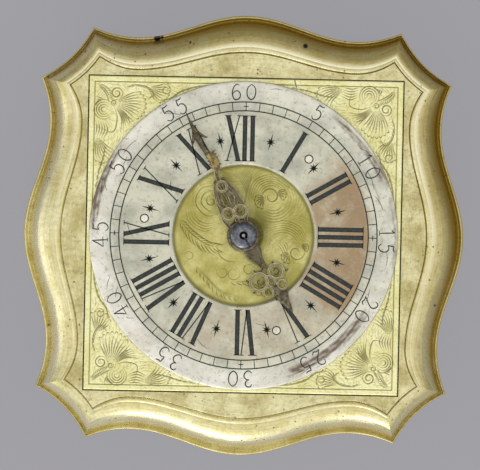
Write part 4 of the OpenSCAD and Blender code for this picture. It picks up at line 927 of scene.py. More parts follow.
def spandrel(made, relief, sx, sy):
    """One quarter of the plate outside the ring, as a closed engraved slab."""
    count = int(round(DIAL_HALF / SPANDREL_STEP))
    line = np.linspace(0, DIAL_HALF, count + 1)
    x, y = np.meshgrid(line * sx, line * sy, indexing="ij")
    middle = (line[1:] + line[:-1]) / 2
    cx, cy = np.meshgrid(middle, middle, indexing="ij")
    mask = np.hypot(cx, cy) > RING_OUT - 0.9
    cells = np.argwhere(mask)
    index = np.full((count + 1, count + 1), -1)
    corners = np.concatenate([cells, cells + [1, 0], cells + [1, 1], cells + [0, 1]])
    used = np.unique(corners[:, 0] * (count + 1) + corners[:, 1])
    index[used // (count + 1), used % (count + 1)] = np.arange(len(used))
    px, py = x[index >= 0], y[index >= 0]
    order = index[index >= 0]
    points = np.zeros((len(used), 3))
    depth = relief.at(px, py)
    edge = DIAL_HALF - np.maximum(abs(px), abs(py))
    round_edge = np.clip(1 - edge / 0.4, 0, 1) ** 2 * 0.16
    points[order] = np.stack([px, py, CASE_TOP - depth - round_edge], axis=1)
    cut = np.zeros(len(used))
    cut[order] = np.clip(depth / SPANDREL_DARK, 0, 1) * 0.95
    i, j = cells[:, 0], cells[:, 1]
    quads = np.stack([index[i, j], index[i + 1, j], index[i + 1, j + 1], index[i, j + 1]], axis=1)
    loop = outline_of(mask, index)
    base = points[loop].copy()
    base[:, 2] = CASE_TOP - SLAB_T
    n, k = len(loop), len(used)
    skirt = [[loop[a], k + a, k + (a + 1) % n, loop[(a + 1) % n]] for a in range(n)]
    faces = quads.tolist() + skirt + [[k + a for a in range(n)][::-1]]
    if sx * sy < 0:
        faces = [f[::-1] for f in faces]
    made.add(np.vstack([points, base]), faces, cut=np.concatenate([cut, np.zeros(n)]))


def dial_plate(relief):
    """The engraved dial plate: a plain back, four spandrels and the scrolled middle."""
    low, high, segments = CASE_TOP - DIAL_T, CASE_TOP - SLAB_T + 0.1, 96
    a = (np.arange(segments) + 0.5) / segments * TAU
    reach = DIAL_HALF / np.maximum(abs(np.cos(a)), abs(np.sin(a)))
    rows = [(PLATE_HOLE, low), (reach - 0.2, low), (reach, low + 0.2), (reach, high), (PLATE_HOLE, high)]
    rows = [np.stack([np.cos(a) * r, np.sin(a) * r, np.full(segments, z)], axis=1) for r, z in rows]
    back = Shape().add(np.stack(rows, axis=1).reshape(-1, 3), grid_faces(segments, len(rows), True, True))
    make_piece("dial_plate_back", back, PLATE, "case", ["dial_plate"])
    for name, sy in (("dial_spandrels_upper", 1), ("dial_spandrels_lower", -1)):
        made = Shape()
        for sx in (1, -1):
            spandrel(made, relief, sx, sy)
        make_piece(name, made, PLATE, "case", ["dial_plate"], sharp=60)

    segments, steps = 760, 100
    radii = np.linspace(PLATE_HOLE + 0.2, RING_IN + 0.35, steps)
    a = np.arange(segments) / segments * TAU
    x, y = np.outer(np.cos(a), radii), np.outer(np.sin(a), radii)
    depth = relief.at(x, y)
    top = np.stack([x, y, CASE_TOP - depth], axis=-1)
    bottom = np.stack([x[:, [-1, 0]], y[:, [-1, 0]], np.full((segments, 2), CASE_TOP - SLAB_T)], axis=-1)
    points = np.concatenate([top, bottom], axis=1)
    cut = np.concatenate([np.clip(depth / MIDDLE_DARK, 0, 1) * 0.8, np.zeros((segments, 2))], axis=1)
    faces = grid_faces(segments, steps + 2, True, True)[:, ::-1]
    # The middle carries the painted shadow of the hands and the painted shade at the boss and ring
    middle = Shape().add(points.reshape(-1, 3), faces, cut=cut.ravel(), middle=1.0,
                         oiled=oil_shade(points[..., 0], points[..., 1]).ravel())
    make_piece("dial_middle", middle, PLATE, "case", ["dial_plate"], sharp=60)


# Chapter ring and its inlays

def bump_over(value, low, high, soft):
    """1 between two limits, falling softly to 0 outside them."""
    rise = np.clip((value - low) / soft + 1, 0, 1)
    fall = np.clip((high - value) / soft + 1, 0, 1)
    return rise * rise * (3 - 2 * rise) * fall * fall * (3 - 2 * fall)


# Tarnished streaks of the ring: first and last angle from twelve, inner and outer radius, and strength
STREAKS = [
    (127, 155, 45.2, 46.4, 1.75), (43, 62, 47.1, 47.6, 1.5), (60, 96, 48.1, 48.5, 1.2),
    (277, 298, 47.6, 49.2, 1.6), (66, 100, 44.2, 44.6, 0.8), (318, 330, 46.4, 48.0, 0.45),
    (196, 212, 45.0, 46.4, 0.5), (0, 5, 46.8, 48.6, 0.3), (233, 240, 44, 45, 0.5)
]


def ring_wear(clockwise, radius):
    """Worn copper zone and tarnished rim of the ring, by angle from twelve and radius."""
    inside = bump_over(radius, 24, 39, 2.5)
    worn = bump_over(clockwise, 66, 122, 26) * (0.85 + 0.15 * bump_over(radius, 34, 39, 4)) * inside
    worn = np.maximum(worn, 0.42 * bump_over(clockwise, 110, 196, 24) * inside)
    tarnish = np.zeros(np.broadcast(clockwise, radius).shape)
    for a0, a1, r0, r1, strength in STREAKS:
        streak = bump_over(clockwise, a0, a1, 14) * bump_over(radius, r0, r1, 2.0)
        tarnish = np.maximum(tarnish, strength * streak)
    brushed = np.sin(radius * 5.1 + clockwise * 0.83) * np.sin(radius * 2.3 - clockwise * 0.31 + 1)
    brushed = brushed + np.sin(radius * 9 + clockwise * 0.2)
    return np.clip(worn, 0, 1), tarnish * (0.8 + 0.16 * brushed)


def chapter_ring():
    """Silvered ring with a bevelled inner edge."""
    segments = 720
    profile = [(RING_IN, CASE_TOP - 0.02), (RING_IN, CASE_TOP + 0.45), (RING_IN + 0.25, CASE_TOP + 0.8),
               (RING_IN + 0.5, RING_TOP)]
    profile += [(r, RING_TOP) for r in np.linspace(RING_IN + 0.9, RING_OUT - 0.8, 54)]
    profile += [(RING_OUT - 0.3, RING_TOP - 0.04), (RING_OUT - 0.08, RING_TOP - 0.16),
                (RING_OUT, RING_TOP - 0.4), (RING_OUT, CASE_TOP - 0.02)]
    profile = np.array(profile)
    a = np.arange(segments) / segments * TAU
    x, y = np.outer(np.cos(a), profile[:, 0]), np.outer(np.sin(a), profile[:, 0])
    points = np.stack([x, y, np.tile(profile[:, 1], (segments, 1))], axis=-1).reshape(-1, 3)
    clockwise = (90 - np.degrees(a)) % 360
    worn, tarnish = ring_wear(clockwise[:, None], profile[None, :, 0])
    # Painted light: the margin's lighter tone grows towards the lower left, where the light falls
    rubbed = 0.7 + 0.3 * np.cos(np.radians(clockwise - 240))
    # The outermost rows are darkened to a thin dark line round the ring's edge
    tarnish[:, -3:] = np.maximum(tarnish[:, -3:], 1.0)
    made = Shape().add(points, grid_faces(segments, len(profile), True, True)[:, ::-1],
                       worn=worn.ravel(), tarnish=tarnish.ravel(),
                       margin=(np.clip((profile[None, :, 0] - 41) / 4, 0, 1) * rubbed[:, None]).ravel())
    make_piece("silvered_chapter_ring", made, SILVER, "case", ["chapter_ring"], sharp=50)


# Top and foot of the wax; the hours' feet and heads, widths of their strokes and shifts along the ring
INLAY_TOP = RING_TOP + 0.025
INLAY_BASE = RING_TOP - 0.1
HOUR_FOOT, HOUR_HEAD = 23.6, 38.2
THICK, THIN = 1.46, 0.38
HOUR_SHIFTS = {12: -1.7, 6: -1.0, 8: -0.6, 5: -0.95}


def filled(made, outline, **marks):
    """A flat-ended cut filled with wax, on an outline."""
    return made.prism(outline, INLAY_BASE, INLAY_TOP, **marks)


def filled_ring(made, inner, outer, segments, centre=(0, 0)):
    """A round cut filled with wax."""
    profile = [(inner, INLAY_BASE), (outer, INLAY_BASE), (outer, INLAY_TOP), (inner, INLAY_TOP)]
    made.lathe(profile, segments, centre)


def bar(made, x0, y0, x1, y1, width):
    """A straight cut between two points, square at its ends, its wax rubbed thin and given a painted sheen
    along the middle.
    """
    for side in (-1, 1):
        outline = [(x0, y0), (x0 + side * width / 2, y0), (x1 + side * width / 2, y1), (x1, y1)]
        core = np.array([1, 0, 0, 1], float) * (width > 1)
        if side < 0:
            outline, core = outline[::-1], core[::-1]
        filled(made, outline, core=np.tile(core, 2))


def serif(made, x, y, width):
    """A hairline across the end of a stroke, with small brackets."""
    s = 0.17 if y < (HOUR_FOOT + HOUR_HEAD) / 2 else -0.17
    filled(made, [(x - width / 2, y), (x + width / 2, y), (x + width / 2 - 0.1, y + s * 1.6),
                  (x - width / 2 + 0.1, y + s * 1.6)])


def letter(made, which, x):
    """One Roman letter whose left side is at x; returns the room it takes."""
    low, high = HOUR_FOOT, HOUR_HEAD
    if which == "I":
        bar(made, x + 0.95, low, x + 0.95, high, THICK)
        for y in (low, high):
            serif(made, x + 0.95, y, 2.35)
        return 2.45
    if which == "V":
        bar(made, x + 2.5, low, x + 0.7, high, THICK)
        bar(made, x + 2.75, low + 0.2, x + 4.3, high, THIN)
        serif(made, x + 0.7, high, 2.8)
        serif(made, x + 4.3, high, 1.9)
        return 4.7
    bar(made, x + 4.4, low, x + 0.9, high, THICK)
    bar(made, x + 0.8, low, x + 4.6, high, THIN)
    for cx, y, width in ((4.4, low, 2.2), (0.8, low, 1.6), (0.9, high, 2.2), (4.6, high, 1.6)):
        serif(made, x + cx, y, width)
    return 5.4


HOURS = ["I", "II", "III", "IIII", "V", "VI", "VII", "VIII", "IX", "X", "XI", "XII"]


def inlay(name, shape, sharp=32):
    """A piece of wax in the cuts of the ring."""
    make_piece(name, shape, WAX, "case", sharp=sharp)


def hour_numerals():
    """Roman hours cut in the ring with their tops outwards and filled with wax."""
    made = Shape()
    for hour, letters in enumerate(HOURS, 1):
        word = Shape()
        x = 0
        for which in letters:
            x += letter(word, which, x)
        points = np.vstack(word.points)
        points[:, 0] -= (x - 0.55) / 2 - HOUR_SHIFTS.get(hour, 0)
        core = np.zeros(word.count)
        for start, run in word.marks["core"]:
            core[start:start + len(run)] = run
        made.add(turn(points, -30 * hour), word.faces, core=core)
    inlay("hour_numerals", made, 30)


def pen(made, keys, width, thin, turned=0):
    """A pen stroke through key points, thin at both ends, as a square-edged strip, turned about the middle."""
    line = smooth_through(keys, 5) if len(keys) > 2 else np.linspace(keys[0], keys[1], 3)
    n = len(line)
    widths = thin + (width - thin) * np.sin(np.pi * np.linspace(0, 1, n)) ** 0.8
    d = directions(line)
    side = np.stack([-d[:, 1], d[:, 0]], axis=1) * widths[:, None] / 2
    rows = [np.c_[line + s * side, np.full(n, z)]
            for s, z in ((-1, INLAY_BASE), (1, INLAY_BASE), (1, INLAY_TOP), (-1, INLAY_TOP))]
    last = 4 * (n - 1)
    made.add(turn(np.stack(rows, axis=1).reshape(-1, 3), turned),
             grid_faces(n, 4, False, True).tolist() + [[0, 1, 2, 3], [last + 3, last + 2, last + 1, last]])


# Foot and height of the minutes, their shifts in degrees and the widths of the pen
DIGIT_FOOT, DIGIT_H = 43.3, 4.9
MINUTE_SHIFTS = {60: -1.05, 15: 0.9, 45: -0.7}
FINE, BROAD = 0.24, 0.4


# Strokes of each numeral in a box 3 wide and 1 high: points and greatest width
DIGITS = {
    "0": [([(1.5, 1), (0.55, 0.8), (0.25, 0.5), (0.55, 0.18), (1.5, 0), (2.45, 0.18), (2.75, 0.5), (2.45, 0.8),
            (1.5, 1)], BROAD)],
    "1": [([(1.5, 0), (1.5, 0.5), (1.5, 1)], BROAD), ([(0.7, 0.8), (1.1, 0.87), (1.5, 1)], BROAD),
          ([(0.8, 0.0), (2.2, 0.0)], FINE)],
    "2": [([(0.4, 0.76), (0.75, 0.97), (1.5, 1.0), (2.3, 0.86), (2.4, 0.66), (1.8, 0.42), (0.9, 0.18),
            (0.35, 0.02)], BROAD), ([(0.35, 0.02), (1.3, 0.07), (2.1, 0.0), (2.8, 0.14)], BROAD)],
    "3": [([(0.5, 0.84), (0.95, 1.0), (1.9, 0.98), (2.35, 0.8), (1.9, 0.6), (1.2, 0.54)], BROAD),
          ([(1.2, 0.54), (2.1, 0.5), (2.65, 0.28), (2.1, 0.04), (1.2, -0.03), (0.4, 0.12)], BROAD)],
    "4": [([(2.0, 1.0), (1.1, 0.62), (0.1, 0.3)], BROAD), ([(0.1, 0.3), (1.5, 0.3), (2.9, 0.3)], FINE),
          ([(2.0, 1.0), (2.0, 0.5), (2.0, 0.0)], BROAD), ([(1.5, 0.0), (2.5, 0.0)], FINE)],
    "5": [([(2.5, 1.0), (1.6, 0.94), (0.9, 0.98)], BROAD), ([(0.9, 0.98), (0.78, 0.76), (0.7, 0.56)], BROAD),
          ([(0.7, 0.56), (1.4, 0.64), (2.3, 0.56), (2.65, 0.32), (2.2, 0.06), (1.2, -0.03),
            (0.4, 0.12)], BROAD)],
    "6": [([(2.4, 0.93), (1.7, 1.0), (0.8, 0.8), (0.35, 0.42), (0.7, 0.08), (1.5, 0.0), (2.4, 0.12),
            (2.6, 0.34), (2.1, 0.54), (1.3, 0.56), (0.5, 0.4)], BROAD)],
}


def minute_numerals():
    """Arabic minutes round the margin, tops outwards, one pen stroke after another."""
    made = Shape()
    pitch = 4.8 / (DIGIT_FOOT + DIGIT_H / 2)
    for k in range(1, 13):
        figures = str(5 * k)
        for i, which in enumerate(figures):
            along = math.degrees((i - (len(figures) - 1) / 2) * pitch) + MINUTE_SHIFTS.get(5 * k, 0)
            for keys, width in DIGITS[which]:
                keys = [(x * 1.12 - 1.68, DIGIT_FOOT + y * DIGIT_H) for x, y in keys]
                pen(made, keys, width, FINE, -30 * k - along)
    inlay("minute_numerals", made, 30)


# Old scratches on the ring that have kept wax: angle from twelve and radius at the start and at the end
SCRATCHES = [
    (52, 46.4, 57, 47.9), (61, 44.4, 69, 44.1), (72, 43.7, 79, 45.2), (95, 45.8, 101, 46.4),
    (112, 43.6, 118, 44.3), (150, 46.2, 157, 47.9), (243, 45.3, 247, 42.9), (247, 46.9, 252, 44.3),
    (284, 46.6, 292, 48.5),
    (287, 45.8, 291, 47.6), (303, 46.3, 311, 45.7), (232, 43.8, 234, 45.6), (331, 43.4, 326, 46.2),
    (9, 47.2, 14, 47.9), (297, 43.6, 303, 44.7), (268, 35.2, 276, 37.4), (300, 26.8, 306, 29.0),
    (29, 29.8, 33, 27.6), (196, 37.9, 203, 36.1), (164, 29.4, 171, 28.2)
]


def hairlines():
    """The ring's scratches as fine inlays."""
    made = Shape()
    for a0, r0, a1, r1 in SCRATCHES:
        middle = on_circle((r0 + r1) / 2 + 0.25, 90 - (a0 + a1) / 2)
        pen(made, [on_circle(r0, 90 - a0), middle, on_circle(r1, 90 - a1)], 0.17, 0.06)
    inlay("ring_hairlines", made, 30)


# Geometry Nodes for what repeats round the dial or along a path

def tree_with(name, sizes):
    """A Geometry Nodes tree with named size inputs and a material input."""
    tree = bpy.data.node_groups.new(name, "GeometryNodeTree")
    tree.interface.new_socket("Geometry", in_out="INPUT", socket_type="NodeSocketGeometry")
    for label, kind in sizes:
        tree.interface.new_socket(label, in_out="INPUT", socket_type=kind)
    tree.interface.new_socket("Material", in_out="INPUT", socket_type="NodeSocketMaterial")
    tree.interface.new_socket("Geometry", in_out="OUTPUT", socket_type="NodeSocketGeometry")
    return tree, add(tree, "NodeGroupInput"), add(tree, "NodeGroupOutput")


def finish_tree(tree, start, end, instances):
    """Makes instances real and gives them their material."""
    real = add(tree, "GeometryNodeRealizeInstances", {0: instances})
    painted = add(tree, "GeometryNodeSetMaterial", {"Geometry": real, "Material": start.outputs["Material"]})
    tree.links.new(painted.outputs[0], end.inputs[0])
    return tree


def ring_tree():
    """Repeats a shape at even steps round the upright axis through the origin."""
    sizes = [("Count", "NodeSocketInt"), ("Start", "NodeSocketFloat")]
    tree, start, end = tree_with("repeat_round_axis", sizes)
    given = start.outputs
    points = add(tree, "GeometryNodePoints", {"Count": given["Count"], "Radius": 0.001})
    number = add(tree, "GeometryNodeInputIndex")
    step = add(tree, "ShaderNodeMath", {0: TAU, 1: given["Count"]}, operation="DIVIDE")
    angle = add(tree, "ShaderNodeMath", {0: number, 1: step, 2: given["Start"]}, operation="MULTIPLY_ADD")
    turned = add(tree, "ShaderNodeCombineXYZ", {"Z": angle})
    placed = add(tree, "GeometryNodeInstanceOnPoints", {"Points": points, "Instance": given["Geometry"],
                                                        "Rotation": turned})
    return finish_tree(tree, start, end, placed)


def path_tree():
    """Repeats a shape along a path of points at an even pitch, turned to follow it."""
    sizes = [(label, "NodeSocketFloat") for label in ("Pitch", "Link length", "Link width", "Link thickness")]
    tree, start, end = tree_with("repeat_along_path", sizes)
    size = start.outputs
    curve = add(tree, "GeometryNodeMeshToCurve", {0: size["Geometry"]})
    even = add(tree, "GeometryNodeResampleCurve", {"Curve": curve, "Length": size["Pitch"]}, mode="LENGTH")
    block = add(tree, "ShaderNodeCombineXYZ",
                {"X": size["Link thickness"], "Y": size["Link width"], "Z": size["Link length"]})
    link = add(tree, "GeometryNodeMeshCube", {"Size": block, "Vertices X": 2, "Vertices Y": 3,
                                              "Vertices Z": 4})
    tangent = add(tree, "GeometryNodeInputTangent")
    along = add(tree, "FunctionNodeAlignRotationToVector", {"Vector": tangent}, axis="Z")
    upright = add(tree, "FunctionNodeAlignRotationToVector", {"Rotation": along, "Vector": (0.0, 0.0, 1.0)},
                  axis="Y", pivot_axis="Z")
    placed = add(tree, "GeometryNodeInstanceOnPoints", {"Points": even, "Instance": link, "Rotation": upright})
    return finish_tree(tree, start, end, placed)


def grown(name, shape, tree, values, material, body, replaces=()):
    """Runs a tree on a shape and keeps its result as a plain mesh."""
    mesh = bpy.data.meshes.new(name + "_seed")
    edges = [] if shape.faces else [[i, i + 1] for i in range(shape.count - 1)]
    mesh.from_pydata((np.vstack(shape.points) * MM).tolist(), edges, shape.faces)
    seed = bpy.data.objects.new(name + "_seed", mesh)
    bpy.context.scene.collection.objects.link(seed)
    modifier = seed.modifiers.new("grow", "NODES")
    modifier.node_group = tree
    values = {**values, "Material": material}
    for item in tree.interface.items_tree:
        if item.item_type == "SOCKET" and item.in_out == "INPUT" and item.name in values:
            modifier[item.identifier] = values[item.name]
    view = bpy.context.evaluated_depsgraph_get()
    made = bpy.data.meshes.new_from_object(seed.evaluated_get(view), preserve_all_data_layers=True,
                                           depsgraph=view)
    made.name = name
    seed.modifiers.clear()
    bpy.data.objects.remove(seed)
    if not made.materials:
        made.materials.append(material)
    settle(name, made, body, replaces, 32)


# Reach of a half-hour star's points, the right one first and then anticlockwise; its waist and its place
STAR_REACH = (1.595, 1.55, 3.0, 1.55, 1.595, 1.55, 3.0, 1.55)
STAR_WAIST, STAR_AT = 0.48, 30.9


def half_hour_stars():
    """Twelve eight-pointed stars between the hours."""
    star = Shape()
    middle = np.array([0, STAR_AT])
    for k, reach in enumerate(STAR_REACH):
        filled(star, [middle, middle + on_circle(STAR_WAIST, 45 * k - 40), middle + on_circle(reach, 45 * k),
                      middle + on_circle(STAR_WAIST, 45 * k + 40)])
    grown("half_hour_stars", star, ROUND, {"Count": 12, "Start": math.radians(-15)}, WAX, "case")


# Radii of the minute track's circles
TRACK_OUT, TRACK_IN = 42.5, 39.7


def minute_track():
    """Sixty ticks between two circles, with a small cross at each quarter."""
    tick = filled(Shape(), [(-0.13, TRACK_IN), (0.13, TRACK_IN), (0.13, TRACK_OUT), (-0.13, TRACK_OUT)])
    grown("minute_ticks", tick, ROUND, {"Count": 60, "Start": 0.0}, WAX, "case")
    lines = Shape()
    for radius in (TRACK_IN, TRACK_OUT):
        filled_ring(lines, radius - 0.19, radius + 0.19, 240)
    y = (TRACK_IN + TRACK_OUT) / 2
    cross = filled(Shape(), [(-0.8, y - 0.15), (0.8, y - 0.15), (0.8, y + 0.15), (-0.8, y + 0.15)])
    for k in range(4):
        lines.add(turn(cross.points[0], 90 * k), cross.faces)
    inlay("minute_circles", lines)


def rivets():
    """Three soft rivet heads, filed nearly flush with the ring, each in its dark joint."""
    made, joints = Shape(), Shape()
    shank, head = 0.75, 1.12
    dome = [(head * math.cos(t), RING_TOP + 0.01 + 0.07 * math.sin(t)) for t in np.linspace(0, math.pi / 2, 8)]
    for clockwise in RIVET_ANGLES:
        centre = on_circle(RIVET_AT, 90 - clockwise)
        under = [(0.001, CASE_TOP - 1), (shank, CASE_TOP - 1), (shank, CASE_TOP + 0.2), (head, CASE_TOP + 0.2)]
        made.lathe(under + dome[:-1] + [(0.001, dome[-1][1])], 32, centre, margin=0.8)
        filled_ring(joints, 1.1, 1.46, 32, centre)
    inlay("ring_rivet_joints", joints)
    make_piece("ring_rivet_heads", made, SILVER, "case", ["ring_rivets"])


# Hands

# Under side of each hand's boss, the boss's height, how far above it the carving starts and its thickness
HOUR_HAND_Z, MINUTE_HAND_Z, BOSS_T, CARVED_LIFT, CARVED_T = 62.9, 64.5, 0.9, 0.15, 0.6
# The narrowest that a ribbon gets
LEAST_WIDTH = 0.12


def carved_ribbon(made, keys, z0, thick=CARVED_T, closed=False, groove=0.35, glow=0.0, steps=5, depth=0.4,
                  rub=1.0):
    """A carved strip with gilt rims carrying a painted highlight, and a sunk middle, following points of x, y
    and width.
    """
    line = np.array(keys, float) if closed else smooth_through(keys, steps)
    n = len(line)
    d = directions(line[:, :2], closed)
    normal = np.stack([-d[:, 1], d[:, 0]], axis=1)
    half = np.maximum(line[:, 2], LEAST_WIDTH)[:, None] / 2
    sunk = 0.6 * closed
    section = [
        (-1.0, 0, 0.3), (1.0, 0, 0.3), (1.0, 0.62, 0.9), (0.78, 1, 1), (groove, 1 - depth, sunk),
        (-groove, 1 - depth, sunk), (-0.78, 1, 1), (-1.0, 0.62, 0.9)
    ]
    m = len(section)
    rows = [np.c_[line[:, :2] - normal * half * across, np.full(n, z0 + thick * up)]
            for across, up, _ in section]
    rims = np.tile([row[2] for row in section], n)
    faces = grid_faces(n, m, closed, True).tolist()
    if not closed:
        faces += [list(range(m)), [m * (n - 1) + q for q in range(m)][::-1]]
    made.add(np.stack(rows, axis=1).reshape(-1, 3), faces, rim=rub * rims, glow=glow)


def carved_loops(made, z, rows):
    """Closed loops of a hand: middle, radius, width, how much narrower than high, and lift."""
    count = 36
    a = np.arange(count) / count * TAU
    for x, y, radius, width, squash, lift in rows:
        keys = np.c_[x + radius * squash * np.cos(a), y + radius * np.sin(a), np.full(count, width)]
        carved_ribbon(made, keys, z + lift, closed=True, groove=0.2, depth=0.18)


def carved_curls(made, z, rows):
    """Open curls of a hand: middle, first radius and angle, last radius and angle, first and last width."""
    count = 9
    for x, y, r0, a0, r1, a1, w0, w1 in rows:
        line = spiral((x, y), r0, r1, a0, a1, count)
        carved_ribbon(made, np.c_[line, np.linspace(w0, w1, count)], z)


def boss(made, radius, bore, z0):
    """Turned boss of a hand, with a bead round its edge."""
    made.lathe([(bore, z0), (radius, z0), (radius, z0 + BOSS_T * 0.6), (radius - 0.25, z0 + BOSS_T * 0.92),
                (radius - 0.55, z0 + BOSS_T), (radius - 0.9, z0 + BOSS_T * 0.86), (bore, z0 + BOSS_T * 0.86)],
               64, rim=0.35)


def make_hand(name, made, angle, body, replaces):
    """Turns a hand drawn along +Y to its place, clockwise from twelve, and makes it a piece."""
    made.points = [turn(p, -angle) for p in made.points]
    make_piece(name, made, BRONZE, body, [replaces], sharp=40)


def hour_hand():
    """Pierced rococo hour hand: an engraved plate, a cluster of loops, curls, and a leaf-shaped tip."""
    made = Shape()
    z = HOUR_HAND_Z + CARVED_LIFT
    boss(made, 5.3, 3.62, HOUR_HAND_Z)
    plate = [(0.1, 4.4, 4.6), (0.3, 6.4, 5.6), (0.3, 8.4, 4.0), (0, 10.4, 2.4), (-0.1, 12.6, 1.6)]
    carved_ribbon(made, plate, z, groove=0.62, depth=0.3, rub=0.4)
    for k in range(8):
        y, reach = 4.9 + 0.66 * k, 2.0 - 0.14 * k
        rib = [(-reach + 0.3, y, 0.25), (0.25, y + 0.5, 0.42), (reach + 0.3, y, 0.25)]
        carved_ribbon(made, rib, z + 0.26, 0.34, steps=3)
    carved_loops(made, z, [
        (-2.6, 15.2, 2.35, 0.95, 1.0, 0.0235), (3.8, 15.2, 2.75, 1.0, 1.0, 0.0275),
        (0.6, 17.0, 2.0, 0.85, 0.68, 0.02), (-1.9, 19.7, 1.45, 0.75, 1.0, 0.0145),
        (3.1, 19.6, 1.55, 0.75, 1.0, 0.0155)
    ])
    carved_curls(made, z - 0.02, [(-2.6, 14.9, 1.3, 40, 0.5, 330, 0.6, 0.4),
                                  (3.5, 15.2, 1.3, 160, 0.5, -120, 0.6, 0.4)])
    carved_curls(made, z, [(2.2, 10.6, 2.7, 175, 1.2, 25, 0.9, 0.5),
                           (-2.2, 11.4, 2.4, -10, 1.1, 165, 0.9, 0.5)])
    for barb in ([(-4.6, 15.6, 0.9), (-5.6, 16.6, 0.8), (-6.3, 16.4, 0.4)],
                 [(5.8, 15.8, 0.9), (6.7, 17.2, 0.8), (7.3, 17, 0.4)],
                 [(5.6, 13.9, 0.5), (6.6, 13.4, 0.7), (6.9, 12.3, 0.3)]):
        carved_ribbon(made, barb, z)
    tip = [(0.3, 18.6, 1.8), (0.2, 20.8, 2.0), (0, 21.6, 2.6), (0, 22.4, 3.8), (0, 23.3, 3.9), (0, 24.6, 2.8),
           (-0.1, 26.3, 1.9), (-0.1, 29.0, 0.3)]
    carved_ribbon(made, tip, z, groove=0.5, depth=-0.12, rub=0.2)
    carved_curls(made, z, [(-1.6, 22.3, 1.1, 20, 0.5, 230, 0.6, 0.3),
                           (1.6, 22.3, 1.1, 160, 0.5, -50, 0.6, 0.3)])
    make_hand("hour_hand_carved", made, HOUR_ANGLE, "hour_set", "hour_hand")


def minute_hand():
    """Pierced rococo minute hand: a dense web of loops and curls, a gilt leaf cluster and a barbed lance."""
    made = Shape()
    z = MINUTE_HAND_Z + CARVED_LIFT
    boss(made, 5.0, 2.53, MINUTE_HAND_Z)
    for keys, lift in (
            ([(2.6, 3.8, 1.1), (3.9, 6.4, 1.3), (4.0, 9.4, 1.1), (3.7, 12.8, 1.4), (2.9, 16.2, 1.2),
              (1.4, 19.4, 0.8)], 0),
            ([(-2.8, 3.8, 1.1), (-3.5, 6.8, 1.3), (-3.3, 9.8, 1.1), (-2.9, 13.0, 1.4), (-2.2, 16, 1.2),
              (-0.7, 19.2, 0.8)], 0),
            ([(0.3, 4.4, 1.6), (0.5, 8, 1.2), (0.6, 11, 1.1), (0.4, 14, 1.0), (0.3, 18.6, 1.2)], -0.02)):
        carved_ribbon(made, keys, z + lift)
    carved_loops(made, z, [(2.3, 7.4, 2.0, 0.85, 1.0, 0.03), (-1.5, 8.1, 1.9, 0.85, 1.0, 0.03),
                           (0.3, 17.0, 1.6, 0.9, 1.0, 0.03)])
    for leaf in ([(-0.4, 9.4, 0.9), (-2.0, 11.2, 1.8), (-2.2, 13.6, 2.0), (-1.0, 15.6, 1.0)],
                 [(1.2, 9.2, 1.0), (1.5, 11.2, 1.9), (1.7, 13.4, 2.1), (1.2, 15.4, 1.1)],
                 [(3.0, 9.0, 0.9), (3.5, 11.2, 1.5), (3.3, 13.6, 1.3), (2.7, 15.2, 0.8)],
                 [(2.4, 15.0, 0.9), (2.7, 16.8, 1.5), (2.0, 18.8, 0.9)],
                 [(-2.3, 15.2, 0.8), (-1.9, 17.0, 1.3), (-1.1, 18.6, 0.8)]):
        carved_ribbon(made, leaf, z - 0.02, groove=0.5, depth=0.34)
    carved_curls(made, z + 0.05, [(*curl, 0.7, 0.45) for curl in (
        (-1.6, 11.4, 1.3, 250, 0.5, -60), (2.4, 12.0, 1.3, 200, 0.5, -120), (-1.4, 14.4, 1.2, 0, 0.5, 300),
        (2.3, 7.4, 0.9, 90, 0.3, 380), (-1.5, 8.1, 0.9, 60, 0.3, -240), (-0.6, 19.0, 1.1, 300, 0.4, 60),
        (1.7, 18.6, 1.2, 240, 0.4, -60))])
    carved_ribbon(made, [(0.2, 18.2, 1.7), (0.5, 20.6, 1.7), (1.1, 22.6, 2.2)], z, glow=0.25)
    cluster = [(1.0, 22.2, 2.0), (1.6, 24.6, 3.0), (1.4, 26.6, 2.6), (0.8, 28.2, 1.8)]
    carved_ribbon(made, cluster, z, CARVED_T + 0.05, groove=0.3, depth=-0.3, glow=0.8)
    for k in range(5):
        y = 22.6 + 1.15 * k
        for reach in (-1.7, 2.0):
            barb = [(1.3, y, 0.9), (1.3 + reach * 0.6, y + 1.0, 0.8), (1.3 + reach, y + 1.3, 0.25)]
            carved_ribbon(made, barb, z + 0.04, glow=0.55, steps=3)
    lance = [(0.8, 28.0, 1.8), (0.2, 30.6, 1.5), (0, 34, 2.0), (0, 37, 1.4), (0, 40, 0.8), (0, 43.2, 0.2)]
    carved_ribbon(made, lance, z, groove=0.45, depth=0.3, rub=0.3)
    for barb in ([(0.3, 37, 0.8), (1.1, 35.2, 0.9), (2.1, 33.7, 0.7), (3, 33.1, 0.2)],
                 [(-0.3, 37, 0.8), (-1, 35.2, 0.9), (-1.9, 33.6, 0.7), (-2.7, 32.7, 0.2)]):
        carved_ribbon(made, barb, z, rub=0.4)
    make_hand("minute_hand_carved", made, MINUTE_ANGLE, "minute_set", "minute_hand")


# The collet's under side, its height, the width of its slit and how deep the slit goes
COLLET_Z, COLLET_T, SLIT_W, SLIT_DEPTH = 65.4, 1.5, 0.48, 1.0


